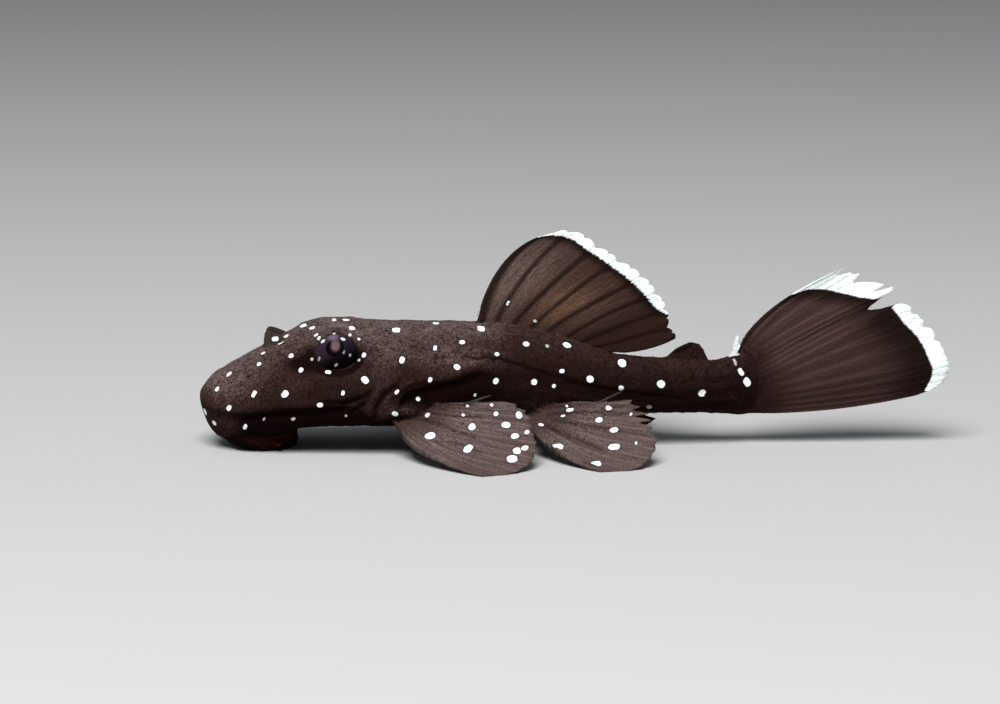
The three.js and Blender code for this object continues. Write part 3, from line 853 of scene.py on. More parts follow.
def disc_shell():
    """The turned lip with pimples, pressed flat below, with a hollow for the mouth."""
    radius = DISC_WIDTH / 2
    profile = np.array([(0, 0), (0.2, 0), (0.45, 0), (0.7, 0), (0.88, 0), (0.94, 0.08), (0.97, 0.25),
                        (1, 0.6), (1, 1), (1, 1.6), (1.04, DISC_TOP), (0.4, DISC_TOP), (0, DISC_TOP)])
    gone = gone_along(profile * (radius, 1))
    fine = np.linspace(0, gone[-1], 61)
    share = np.interp(fine, gone, profile[:, 0])[None]
    height = np.interp(fine, gone, profile[:, 1])[None]
    turn = full_turn(113)
    x = share * radius * np.cos(turn) * DISC_LENGTH / DISC_WIDTH
    y = share * radius * np.sin(turn)
    hollow = 1 - (x / (DISC_LENGTH * 0.2)) ** 2 - (y / (DISC_WIDTH * 0.24)) ** 2
    under = height < 0.05
    lift = np.where(under & (hollow > 0), 0.5 * np.sqrt(np.clip(hollow, 0, 1)), 0)
    # Scalloped rim and rings of pimples
    rim = smoothstep(0.75, 1, share) * (1 - smoothstep(0.6, 1.6, height))
    scallop = 1 + 0.02 * rim * np.cos(turn * 26)
    # In front the lip widens upwards into the snout
    scallop = scallop + 0.45 * np.clip(-np.cos(turn), 0, 1) * smoothstep(-0.05, 0.7, height)
    pimples = np.cos(share * 30) * np.cos(turn * 22)
    lift = lift + 0.05 * np.clip(pimples, 0, 1) * under * smoothstep(0.45, 0.6, share)
    points = place(DISC_CENTRE, 0, 0) + stacked(x * scallop, y * scallop, height + lift)
    for end in (0, -1):
        points[:, end] = points[:, end].mean(0)
    flat = stacked(fine * np.cos(turn), fine * np.sin(turn))
    values = blank_values(points, LIP)
    # Painted shade on the front of the lip and low down by the floor
    values["under"] = np.clip(np.clip(-np.cos(turn), 0, 1) + 0.8 * (1 - smoothstep(0, 1.2, height)), 0, 1)
    return shell_of("lips", [Face(points, grid_normals(points), flat, values)])


BARBEL_LENGTH = 1.5
BARBEL_THICKNESS = 0.6


def spike_shell(name, root, tip, thickness, kind, seam=-5.0):
    """A short tapering spike between two points, white where its seam is above 0."""
    direction = tip - root
    across = unit(np.cross(direction, [0, 0, 1]))
    upward = unit(np.cross(across, direction))
    turn = full_turn(17)
    t = np.linspace(0, 1, 15)[None]
    thick = thickness / 2 * np.sqrt(np.clip(1 - t**2, 0, 1)) * smoothstep(-0.02, 0.03, t)
    thick[:, [0, -1]] = 0
    ring = np.cos(turn)[..., None] * across + np.sin(turn)[..., None] * upward
    points = root + t[..., None] * direction + thick[..., None] * ring
    flat = stacked(t * np.linalg.norm(direction), turn * thickness / 2)
    return shell_of(name, [Face(points, grid_normals(points), flat, blank_values(points, kind, seam))])


def barbel_shell(side):
    """A feeler at a corner of the mouth."""
    direction = np.array([math.sin(math.radians(35)), side * math.cos(math.radians(35)), 0])
    middle = place(DISC_CENTRE + 0.9, side * DISC_WIDTH * 0.47, 0.62)
    half = direction * BARBEL_LENGTH / 2
    return spike_shell(sided("barbel", side), middle - half, middle + half, BARBEL_THICKNESS, LIP)


# Free bluish tips of the innermost rays of the paired fins, in the picture: (from, to)
RAY_TIPS = {"pectoral_fin_left": ((466, 404), (492, 395)), "pelvic_fin_left": ((598, 403), (623, 391))}
RAY_TIP_THICKNESS = 0.24
# White leading spine of the tail fin
TAIL_SPINE = (place(42.6, 0, 6.3), place(43.1, 0, 8.95))
TAIL_SPINE_THICKNESS = 0.75


def ray_shells(shells):
    """Single rays that stand free of the webs."""
    made = [spike_shell("tail_spine", *TAIL_SPINE, TAIL_SPINE_THICKNESS, BARE_RAY, seam=1.0)]
    for shell in shells:
        if shell.name in RAY_TIPS:
            start, end = RAY_TIPS[shell.name]
            root = seen_at(tree_of(shell.values["skin_at"], shell.triangles), *start)
            sight = line_of_sight(*end)
            tip = VIEW_FROM + sight * (root[1] - VIEW_FROM[1]) / sight[1]
            for side in (-1, 1):
                flip = (1, -side, 1)
                made.append(spike_shell(f"{shell.name}_tip_{side}", root * flip, tip * flip,
                                        RAY_TIP_THICKNESS, BARE_RAY))
    return made


# Nostril flaps: a skin flap between the two openings of each nostril, leaning forward

FLAP_ROOT = [(5.1, -1.1, 7.4), (5.6, -1.4, 7.7), (6.2, -1.65, 8), (7.1, -1.75, 8.4)]
FLAP_TOP = [(5.3, -1.0, 9.2), (5.55, -1.1, 9.4), (6.4, -1.5, 9.15), (7.15, -1.7, 8.8)]


def flap_shell(side):
    u = np.linspace(0, 1, 27)
    v = np.linspace(0, 1, 17)[None]
    root, top = (through_points(rows)(u)[:, None] for rows in (FLAP_ROOT, FLAP_TOP))
    points = blend(root, top, v[..., None])
    edge = np.minimum(smoothstep(0, 0.1, u), smoothstep(0, 0.1, 1 - u))[:, None]
    half = (0.04 + 0.17 * edge * (1 - 0.6 * v**2)) * (1 - 0.7 * smoothstep(0.85, 1, v))
    faces = sheet_faces(points, grid_normals(points), half, blank_values(points, FLAP))
    if side > 0:
        faces = [face.mirrored() for face in faces]
    return shell_of(sided("nostril_flap", side), faces)


# Spots in the picture: (across, down, radius), or (across, down, half length, half width, degrees turned)

SPOTS = {
    "body": [
        (217, 389, 2.6, 1.6, 140), (229, 374, 2.2, 1.4, 110), (263, 353, 2, 0.9, 140),
        (259, 364, 2.3, 1.6, 130), (254, 394, 3.7, 1.8, 120), (285, 394, 3.8, 2.9, 130),
        (229, 408, 2.9, 2, 130), (205, 412, 1.6, 1, 90), (214, 423, 1.6), (245, 427, 2.6, 1.8, 120),
        (291, 356, 2.5, 2, 150), (301, 370, 2.5, 2, 115), (328, 372, 3, 1.7, 0), (320, 405, 3.1, 2.3, 175),
        (343, 393, 2.4, 1.5, 100), (365, 380, 4, 3, 45), (364, 355, 2.4, 1.8, 100), (286, 336, 2.1, 1.2, 160),
        (281, 342, 2.5, 1.3, 115), (303, 325, 2.6, 1.2, 153), (312, 328, 3, 1.3, 160),
        # (334, 334) is a painted glint of reflected light at the rim of the eye
        (316, 335, 2.5, 1, 150), (319, 338, 2.2, 1.4, 125), (334, 334, 1.5, 1, 120), (334, 320, 2, 1.2, 0),
        (346, 320, 3.1, 1, 175), (352, 328, 2.8, 1.9, 175), (350, 335, 1.4), (359, 339, 1.5, 1.1, 20),
        (396, 330, 3.9, 2.4, 5), (436, 323, 1.8, 1.3, 170), (435, 348, 2.4, 1.5, 100),
        (402, 360, 3.4, 2.5, 105), (397, 392, 2.8, 1.4, 130), (457, 367, 3.3, 2.6, 35), (462, 342, 2.9, 2, 0),
        (430, 380, 2.7, 1.9, 115), (418, 399, 2.2), (475, 395, 1.5, 1.1, 110), (481, 328, 3.3, 2.5, 170),
        (497, 354, 2.3, 1.8, 0), (496, 381, 3.2, 2.5, 125), (526, 344, 3, 2.4, 0), (534, 382, 2.9),
        (554, 386, 1.9), (562, 371, 2.5, 2, 165), (567, 345, 3.9, 2.5, 5), (590, 379, 3.5), (622, 363, 3.8),
        (621, 388, 2.5), (661, 384, 3.9), (702, 393, 3.7, 3.2, 120), (741, 372, 4, 2.2, 57),
        (747, 382, 4.6, 3.4, 57), (395, 414, 3.1, 2.3, 25)],
    "caudal_fin": [(735, 347, 3.8, 2.3, 125)],
    "dorsal_fin": [(508, 303, 2.5, 1.2, 125)],
    "pectoral_fin": [
        (427, 415, 2.6, 2.2, 135), (463, 415, 1.5, 1.2, 45), (467, 406, 1.5, 1.1, 160),
        (492, 405, 1.8, 1.2, 135), (496, 414, 2.3), (472, 427, 3.6, 3.1, 155),
        (430, 436, 4.8, 3.3, 150), (506, 425, 4.4, 2.7, 10), (468, 449, 4.2, 3.2, 120),
        (519, 415, 3.6, 3, 70), (515, 436, 4, 2.7, 170), (527, 432, 2.5, 2, 165), (517, 451, 3.9, 3.2, 170),
        (525, 448, 3, 2.6, 130), (512, 459, 5.1, 3.8, 170)],
    "pelvic_fin": [
        (541, 425, 2.5, 1.4, 20), (567, 406, 1.3), (570, 410, 3.6, 1.6, 175), (563, 416, 2.1, 1.1, 170),
        (558, 447, 4.8, 3.3, 15), (599, 420, 3.6, 2.6, 175), (609, 408, 3, 2.2, 165),
        (614, 430, 4.2, 2.6, 0), (631, 414, 1.5, 1, 110), (614, 447, 5.8, 3, 175), (596, 464, 5.1, 3.7, 5),
        (636, 443, 1.6, 1, 90)],
    "nostril_flap": [(276, 339, 3.2, 2.2, 175)],
    # On the eye, the first is a painted glint of reflected light
    "eye": [(343, 339, 2.2, 1.5, 40), (323, 341, 2.1, 1.3, 115)],
}
# Spots painted dimmer: those under the jaw because they lie in its painted shade, the others because they
# show only dimly
DIM_AND_SHADED_SPOTS = {
    "body": [(264, 419, 1.7, 0.8, 120), (293, 419, 2.1, 1.5, 165), (346, 416, 1.2), (547, 346, 1.6),
             (649, 407, 2.2, 1.9, 150), (312, 359, 1.5), (359, 360, 1.3), (735, 362, 4, 1.3, 62)],
    "dorsal_fin": [(535, 321, 1.7, 1.4, 45)],
    # On the eye, dim specks, some of them painted glints of reflected light
    "eye": [(350, 355, 1.7, 1.2, 110), (336, 365, 2, 1.2, 127), (319, 359, 2.3, 1, 120),
            (344, 352, 1.8, 0.8, 110)],
}
DIM_LIGHT = 0.45
# More spots where the picture doesn't show the skin: (station, share of the half girth from the back)
BACK_SPOTS = [(6.6, 0.1), (9.4, 0.13), (12.4, 0.11), (15, 0.14), (17.9, 0.11), (20.6, 0.15), (24.5, 0.13),
              (28.4, 0.14), (31.6, 0.12), (34.6, 0.16), (38.2, 0.14)]
SPOT_HALO = 0.5
LONGEST_SPOT = 0.5
# The far side repeats the near side's spots, but none closer to the middle plane than this
FAR_SPOTS_FROM = 1.3


def half_spot(tree, across, down, half, turn):
    """Half of a spot along one of its axes, from a length and an angle in the picture."""
    step = half * np.array([math.cos(turn), math.sin(turn)])
    ahead, behind = (seen_at(tree, across + k * step[0], down + k * step[1]) for k in (1, -1))
    return (ahead - behind) / 2


def spots_on(name, shell):
    """Starts, runs, radii and brightness of the spots of a part of the left side."""
    tree = tree_of(shell.values["skin_at"], shell.triangles)
    rows = []
    for light, table in ((1, SPOTS), (DIM_LIGHT, DIM_AND_SHADED_SPOTS)):
        for across, down, half, *shape in table.get(name, []):
            other, turn = shape or (half, 0)
            turn = math.radians(turn)
            halves = [half_spot(tree, across, down, half, turn),
                      half_spot(tree, across, down, other, turn + math.pi / 2)]
            short, long = sorted(halves, key=np.linalg.norm)
            radius, reach = np.linalg.norm(short), np.linalg.norm(long)
            run = 2 * long * max(min(reach, LONGEST_SPOT) - radius, 0) / reach
            rows.append((seen_at(tree, across, down) - run / 2, run, radius, light))
    return tuple(np.array(column) for column in zip(*rows))


def far_spots(spots):
    """The spots of the other side: alike, but not mirror images."""
    starts, runs, radii, lights = spots
    return (starts * MIRROR + rng.normal(0, 0.28, starts.shape) * np.array([1, 0.1, 1]), runs * MIRROR,
            radii * rng.uniform(0.85, 1.15, len(radii)), lights)


def nearest_spot(points, spots):
    """Start, run, size and brightness of the spot nearest to each point, with size 0 where none is near."""
    best = np.full(len(points), SPOT_HALO)
    found = {"spot_at": np.zeros(points.shape), "spot_run": np.zeros(points.shape),
             "spot_size": np.zeros(len(points)), "spot_light": np.zeros(len(points))}
    for start, run, *rest in zip(*spots):
        share = np.clip((points - start) @ run / max(run @ run, 1e-9), 0, 1)
        gap = np.linalg.norm(points - start - share[:, None] * run, axis=1) - rest[0]
        nearer = gap < best
        best[nearer] = gap[nearer]
        for key, value in zip(found, (start, run, *rest)):
            found[key][nearer] = value
    return found


def own_name(shell):
    """Name of a shell without its side."""
    return shell.name.removesuffix("_left").removesuffix("_right")


def spot_all(shells):
    for shell in shells:
        name = own_name(shell)
        if name == "body":
            near = spots_on(name, shell)
            aside = -near[0][:, 1] > FAR_SPOTS_FROM
            far = far_spots([values[aside] for values in near])
            back = np.array([body_point(station, girth * math.pi) for station, girth in BACK_SPOTS]) * MIRROR
            on_back = (back, np.zeros(back.shape), rng.uniform(0.18, 0.32, len(back)), np.ones(len(back)))
            starts, *rest = (np.concatenate(values) for values in zip(near, far, on_back))
            tree = tree_of(shell.points, shell.triangles)
            moved = starts[len(near[0]):]
            moved[:] = [tree.find_nearest(Vector(p))[0] for p in moved]
            shell.spots = (starts, *rest)
        elif name in SPOTS and shell.name.endswith("_right"):
            # The left shell came just before, and only the left flap has a spot
            if name != "nostril_flap":
                shell.spots = far_spots(near)
        elif name in SPOTS:
            near = spots_on(name, shell)
            shell.spots = near


# Flat sheet for the colour maps

SHEET_MARGIN = 0.5


def lay_out(shells):
    """Packs the charts of all shells on one square sheet, in shelves."""
    charts = []
    for shell in shells:
        for number in range(len(shell.faces)):
            corners = shell.flat[shell.chart == number].reshape(-1, 2)
            low, high = corners.min(0), corners.max(0)
            charts.append((shell, number, low, high - low + SHEET_MARGIN))
    charts.sort(key=lambda chart: -chart[3][1])
    side = math.sqrt(sum(size[0] * size[1] for *_, size in charts))
    while True:
        x, y, shelf, spots = 0, 0, 0, []
        for *_, size in charts:
            if x + size[0] > side:
                x, y, shelf = 0, y + shelf, 0
            spots.append(np.array([x, y]))
            x, shelf = x + size[0], max(shelf, size[1])
        if y + shelf <= side:
            break
        side *= 1.01
    for (shell, number, low, _), spot in zip(charts, spots):
        move = spot + SHEET_MARGIN / 2 - low
        here = shell.chart == number
        shell.flat[here] = (shell.flat[here] + move) / side
        shell.faces[number].flat = (shell.faces[number].flat + move) / side


# Meshes

def new_object(name, data):
    made = bpy.data.objects.new(name, data)
    bpy.context.scene.collection.objects.link(made)
    return made


def write_all(items, field, values, kind=np.float32):
    """Sets one field of all items of a mesh from an array."""
    items.foreach_set(field, values.astype(kind).ravel())


def mesh_object(name, points, triangles, corner_values, flat, smooth=True):
    """Mesh object in metres, with values and the OFBake map at its corners."""
    mesh = bpy.data.meshes.new(name)
    mesh.vertices.add(len(points))
    write_all(mesh.vertices, "co", points * METRES)
    mesh.loops.add(triangles.size)
    write_all(mesh.loops, "vertex_index", triangles, np.int32)
    mesh.polygons.add(len(triangles))
    write_all(mesh.polygons, "loop_start", np.arange(0, triangles.size, 3), np.int32)
    mesh.update(calc_edges=True)
    for key, value in corner_values.items():
        kind, field = ("FLOAT", "value") if value.ndim == 2 else ("FLOAT_VECTOR", "vector")
        write_all(mesh.attributes.new(key, kind, "CORNER").data, field, value)
    write_all(mesh.uv_layers.new(name="OFBake").data, "uv", flat)
    write_all(mesh.polygons, "use_smooth", np.full(len(triangles), smooth), bool)
    return new_object(name, mesh)


def shell_object(shell):
    return mesh_object(shell.name, shell.points, shell.triangles, shell.corner_values(), shell.flat)


def joined_skin(shells):
    """All the shells united into one closed skin, whose faces keep the numbers of their shells."""
    objects = [shell_object(shell) for shell in shells]
    for number, made in enumerate(objects, 1):
        part = made.data.attributes.new("part", "INT", "FACE")
        write_all(part.data, "value", np.full(len(made.data.polygons), number), np.int32)
    for other in objects[1:]:
        union = objects[0].modifiers.new(other.name, "BOOLEAN")
        union.operation = "UNION"
        union.solver = "MANIFOLD"
        union.object = other
    shapes = bpy.context.evaluated_depsgraph_get()
    mesh = bpy.data.meshes.new_from_object(objects[0].evaluated_get(shapes), depsgraph=shapes)
    for made in objects:
        bpy.data.objects.remove(made)
    return new_object("pleco_skin", mesh)


def read_all(items, field, kind, columns=1):
    """One field of all items of a mesh, as an array."""
    values = np.empty(len(items) * columns, kind)
    items.foreach_get(field, values)
    return values.reshape(-1, columns) if columns > 1 else values


def soften_joins(mesh, rings=5, passes=8):
    """Smooths the skin where two shells meet."""
    points = read_all(mesh.vertices, "co", np.float32, 3).astype(float)
    edges = read_all(mesh.edges, "vertices", np.int32, 2)
    part = read_all(mesh.attributes["part"].data, "value", np.int32)
    corners = read_all(mesh.loops, "vertex_index", np.int32)
    parts = np.repeat(part, read_all(mesh.polygons, "loop_total", np.int32))
    count = len(points)
    lowest, highest = np.full(count, 999), np.zeros(count, int)
    np.minimum.at(lowest, corners, parts)
    np.maximum.at(highest, corners, parts)
    both_ways = (edges.T, edges.T[::-1])
    weight = (lowest != highest).astype(float)
    for _ in range(rings):
        nearby = np.zeros(count)
        for here, there in both_ways:
            np.maximum.at(nearby, here, weight[there])
        weight = np.maximum(weight, nearby - 1 / (rings + 1))
    degree = np.bincount(edges.ravel(), minlength=count)[:, None]
    for _ in range(passes):
        total = np.zeros(points.shape)
        for here, there in both_ways:
            np.add.at(total, here, points[there])
        points += (total / degree - points) * (0.5 * weight[:, None])
    points[:, 2] = np.maximum(points[:, 2], 0)
    write_all(mesh.vertices, "co", points)
    mesh.update()


# Denticles: tiny teeth of the skin, each a thin three-sided spike that lies back along the fish

# Places tried on each flank. Many of them are dropped between the plates' edges and keels.
PLATE_TEETH = 9000
HEAD_TEETH = 5200
# Teeth of the first ray of each side of a fin, and of every other ray
FIRST_RAY_TEETH = 60
RAY_TEETH = 26


def denticles(name, groups):
    """One joined mesh from groups of (shell, face, i, j, length, width, lean)."""
    corners, values, flats = [], {}, []
    for shell, face, i, j, length, width, lean in groups:
        root = face.at(face.points, i, j)
        normal = unit(face.at(face.normals, i, j))
        ahead = unit(face.at(face.points, i + lean[0], j + lean[1]) - root)
        ahead = unit(ahead - normal * (ahead * normal).sum(1, keepdims=True))
        side = np.cross(normal, ahead)
        count = len(root)
        length = length * rng.uniform(0.7, 1.2, count)[:, None]
        rise = rng.uniform(0.3, 0.55, count)[:, None]
        tip = root + length * unit(ahead + normal * rise)
        base = root - normal * 0.03
        width = width * rng.uniform(0.8, 1.2, count)[:, None]
        corners.append(np.stack([base + side * width, base - side * width,
                                 base + normal * width * 1.2 - ahead * width * 0.5, tip], 1))
        here = {key: face.at(grid, i, j) for key, grid in face.values.items()}
        here.update(nearest_spot(here["skin_at"], shell.spots))
        for key, value in here.items():
            values.setdefault(key, []).append(value)
        flats.append(face.at(face.flat, i, j))
    points = np.concatenate(corners).reshape(-1, 3)
    points[:, 2] = np.maximum(points[:, 2], 0)
    count = len(points) // 4
    one = np.array([[0, 1, 2], [0, 3, 1], [1, 3, 2], [2, 3, 0]])
    triangles = (one[None] + 4 * np.arange(count)[:, None, None]).reshape(-1, 3)
    patch = np.array([(-1, -1), (1, -1), (0, 1), (0, 0.2)]) * 0.0015
    flat = np.concatenate(flats)[:, None] + patch[None]
    flat = flat.reshape(-1, 2)[triangles]
    values = {key: np.repeat(np.repeat(np.concatenate(value), 4, axis=0)[:, None], 3, axis=1)
              for key, value in values.items()}
    return mesh_object(name, points, triangles, values, flat, smooth=False)


def body_denticles(body):
    """Rows of spikes on the rear edges and keels of the plates, and fine ones over the head."""
    groups = []
    for face in body.faces:
        station = face.points[:, AROUND_HALF // 2, 0] + TOTAL_LENGTH / 2
        rows, columns = face.points.shape[0] - 1, face.points.shape[1] - 1

        def ring_at(s):
            return np.interp(s, station, np.arange(rows + 1))
        # On the plates
        s = rng.uniform(PLATES_FROM + 0.5, PLATES_TO, PLATE_TEETH)
        g = rng.uniform(0.02, 1, PLATE_TEETH)
        column, row, shown = plate_places(s, g)
        near_edge = hump(column % 1 - 0.84, 0.12) + 0.25 + 0.4 * hump(row % 1 - 0.5, 0.12)
        kept = (rng.uniform(0, 1, PLATE_TEETH) < near_edge * shown) & (g < plates_bottom(s) + 0.02)
        groups.append((body, face, ring_at(s[kept]), g[kept] * columns, 0.15, 0.028, (2, 0)))
        # On the head, thinner towards the soft edge of the snout
        s = rng.uniform(1.5, PLATES_FROM + 2, HEAD_TEETH)
        g = rng.uniform(0.01, 0.62, HEAD_TEETH)
        kept = rng.uniform(0, 1, HEAD_TEETH) < smoothstep(0, 5, s)
        at = face.at(face.points, ring_at(s), g * columns)
        out, _, radius = on_eye(at, -1 if face is body.faces[0] else 1)
        kept &= (radius >= EYE_OPENING + 0.1) | (out <= -0.5)
        groups.append((body, face, ring_at(s[kept]), g[kept] * columns, 0.09, 0.022, (2, 0)))
    return denticles("body_denticles", groups)


def fin_denticles(shells):
    """Spikes along every ray, thickest on the first ray."""
    groups = []
    fins = {fin.name: fin for fin in FINS}
    for shell in shells:
        fin = fins.get(own_name(shell))
        if fin is None or fin.name == "adipose_fin":
            continue
        for face in shell.faces:
            for ray in range(fin.rays):
                count = FIRST_RAY_TEETH if ray == 0 else RAY_TEETH
                v = np.sort(rng.uniform(0.12, 0.9, count))
                fork = spread(fin.fork, v) * rng.choice([-1, 1], count)
                twig = spread(fin.twig, v) * rng.choice([-1, 1], count)
                i = np.clip(ray + fork + twig + rng.normal(0, 0.03, count), 0, fin.rays - 1) * fin.per_ray
                size = 0.17 if ray == 0 and fin.kind == PAIRED_FIN else 0.1
                groups.append((shell, face, i, v * fin.rows, size, size * 0.17, (0, 1)))
    return denticles("fin_denticles", groups)


# Eyes

def eye_shell(side):
    """Eyeball with its own places kept at its corners: forward, outward and upward from its centre."""
    centre, along, outward, upward = eye_axes(side)
    turn = full_turn(97)
    lean = np.linspace(0, math.pi, 65)[None]
    local = EYE_HALVES * stacked(np.sin(lean) * np.cos(turn), np.cos(lean), np.sin(lean) * np.sin(turn))
    local[:, 0] = (0, EYE_HALVES[1], 0)
    local[:, -1] = (0, -EYE_HALVES[1], 0)
    points = centre + local @ np.array([along, outward, upward])
    flat = 0.5 + 0.45 * stacked(lean / math.pi * np.cos(turn), lean / math.pi * np.sin(turn))
    values = {"skin_at": points, "eye_at": local}
    return shell_of(sided("eye", side), [Face(points, grid_normals(points), flat, values)])


def eye_objects():
    left, right = eye_shell(-1), eye_shell(1)
    starts, runs, *rest = spots_on("eye", left)
    left.spots = (starts, runs, *rest)
    right.spots = (starts * MIRROR, runs * MIRROR, *rest)
    return [shell_object(left), shell_object(right)]


# Materials

def sign(operation):
    """What a sign stands for between the numbers of a material."""
    return lambda a, b=0.0: a.graph.math(operation, a, b)


class Number:
    """A number, vector or colour that a material's nodes work out."""

    def __init__(self, graph, socket):
        self.graph = graph
        self.socket = socket

    __add__ = __radd__ = sign("ADD")
    __mul__ = __rmul__ = sign("MULTIPLY")
    __sub__ = sign("SUBTRACT")
    __truediv__ = sign("DIVIDE")
    __pow__ = sign("POWER")
    __abs__ = sign("ABSOLUTE")

    def __rsub__(self, other):
        return self.graph.math("SUBTRACT", other, self)

    def clamped(self):
        """The same number, kept between 0 and 1."""
        self.socket.node.use_clamp = True
        return self


class Graph:
    """A material's nodes, made and linked by short calls."""

    def __init__(self, name):
        self.material = bpy.data.materials.new(name)
        self.material.use_nodes = True
        self.tree = self.material.node_tree
        self.shader = next(n for n in self.tree.nodes if n.type == "BSDF_PRINCIPLED")

    def put(self, socket, value):
        if isinstance(value, Number):
            self.tree.links.new(value.socket, socket)
        else:
            socket.default_value = value

    def node(self, kind, inputs, output=0, **settings):
        """Makes a node and gives one of its outputs."""
        made = self.tree.nodes.new(kind)
        for key, value in settings.items():
            setattr(made, key, value)
        for key, value in inputs.items():
            self.put(made.inputs[key], value)
        return Number(self, made.outputs[output])

    def read(self, name, output="Fac"):
        return self.node("ShaderNodeAttribute", {}, output, attribute_name=name)

    def parts(self, name):
        """The three numbers of a vector kept on the mesh."""
        whole = self.node("ShaderNodeSeparateXYZ", {0: self.read(name, "Vector")})
        return [Number(self, socket) for socket in whole.socket.node.outputs]

    def math(self, operation, a, b=0.0):
        return self.node("ShaderNodeMath", {0: a, 1: b}, operation=operation)

    def vector(self, operation, a, b=(0, 0, 0), output="Vector"):
        return self.node("ShaderNodeVectorMath", {0: a, 1: b}, output, operation=operation)

    def ramp(self, value, low, high, to_low=0.0, to_high=1.0):
        limits = {"From Min": low, "From Max": high, "To Min": to_low, "To Max": to_high}
        return self.node("ShaderNodeMapRange", {"Value": value} | limits, "Result",
                         interpolation_type="SMOOTHSTEP")

    def noise(self, at, scale, detail=2.0, roughness=0.5):
        return self.node("ShaderNodeTexNoise", {"Vector": at, "Scale": scale, "Detail": detail,
                                                "Roughness": roughness}, "Fac")

    def mix(self, share, a, b):
        return self.node("ShaderNodeMix", {0: share, 6: a, 7: b}, 2, data_type="RGBA")

    def layers(self, colour, rows):
        """Colours laid over another one, each as strongly as the ramp of a value says."""
        for paint, value, *limits in rows:
            colour = self.mix(self.ramp(value, *limits), colour, paint)
        return colour

    def bump(self, height, distance, strength, normal=None):
        inputs = {"Height": height, "Distance": distance, "Strength": strength}
        if normal:
            inputs["Normal"] = normal
        return self.node("ShaderNodeBump", inputs, "Normal")

    def surface(self, colour, roughness, specular, normal=None):
        """The finished material."""
        inputs = {"Base Color": colour, "Roughness": roughness, "Specular IOR Level": specular}
        if normal:
            inputs["Normal"] = normal
        for name, value in inputs.items():
            self.put(self.shader.inputs[name], value)
        return self.material


def screen(*levels):
    """Linear colour from the 0 to 255 numbers of a screen colour: red, green and blue."""
    shares = [level / 255 for level in levels]
    return (*(s / 12.92 if s < 0.04045 else ((s + 0.055) / 1.055) ** 2.4 for s in shares), 1)


# Skin from dark to pale: the dark end also carries painted shade, the pale end painted light on the back and
# head
SKIN_DARK = screen(20, 9, 7)
SKIN_MID = screen(55, 39, 36)
SKIN_PALE_LIT = screen(106, 91, 88)
# Painted shade of the underside and lips, and the dark of the rings around the spots
DARK_AND_SHADE = screen(15, 5, 4)
LIP_DARK = screen(48, 21, 12)
FLAP_GREY = screen(62, 53, 47)
TIP_GREY = screen(60, 56, 56)
PAIRED_RAY = screen(120, 104, 101)
PAIRED_WEB = screen(66, 51, 48)
PAIRED_ROOT = screen(60, 43, 38)
PAIRED_STREAK = screen(38, 23, 20)
DORSAL_RAY = screen(32, 19, 16)
DORSAL_FRONT = screen(118, 97, 90)
DORSAL_MIDDLE = screen(86, 60, 51)
DORSAL_BACK = screen(47, 31, 27)
DORSAL_GOLD = screen(112, 85, 64)
TAIL_RAY = screen(80, 60, 56)
TAIL_WEB = screen(64, 46, 43)
MARGIN_DARK = screen(20, 12, 10)
WHITE = screen(240, 248, 248)
SPOT_WHITE = screen(246, 250, 250)
# How pale and lit the skin is where it has the middle colour. It has the pale, lit colour 1 above that.
MIDDLE_PALE_AND_LIT = 0.35


def skin_grain(g, at):
    """Velvety grain, specks, soft blotches and small round grit, each about half on average."""
    grit = g.node("ShaderNodeTexVoronoi", {"Vector": at, "Scale": 4.4}, "Distance", feature="F1")
    return g.noise(at, 6, 4, 0.75), g.noise(at, 3, 1), g.noise(at, 0.7), g.ramp(grit, 0.75, 0.1)


def body_colour(g, grain, speck, blotch, grit, rear_line):
    """Mottled brown: pale on the back and snout, partly painted light, and very dark underneath, partly
    painted shade.
    """
    mottle = sum(((part - 0.5) * strength for part, strength in
                  ((grain, 3.3), (speck, 1.3), (blotch, 1), (grit, 0.5))), rear_line * -0.25)
    # The mottling is as strong as the skin is pale and lit
    pale_and_lit = g.read("pale_and_lit") * (mottle + 1)
    body = g.mix((pale_and_lit / MIDDLE_PALE_AND_LIT).clamped(), SKIN_DARK, SKIN_MID)
    body = g.mix((pale_and_lit - MIDDLE_PALE_AND_LIT).clamped(), body, SKIN_PALE_LIT)
    # Painted shade of the underside
    return g.mix(g.read("under"), body, DARK_AND_SHADE)


def streaks_of(g, phase, along, kind, across, lengthwise):
    """Noise drawn out along the rays."""
    return g.noise(g.node("ShaderNodeCombineXYZ", {0: phase * across, 1: along * lengthwise, 2: kind}), 1)


def from_kind(g, kind):
    """1 where the skin is of a kind or of one after it."""
    return g.ramp(g.read("kind"), kind - 0.6, kind - 0.4)


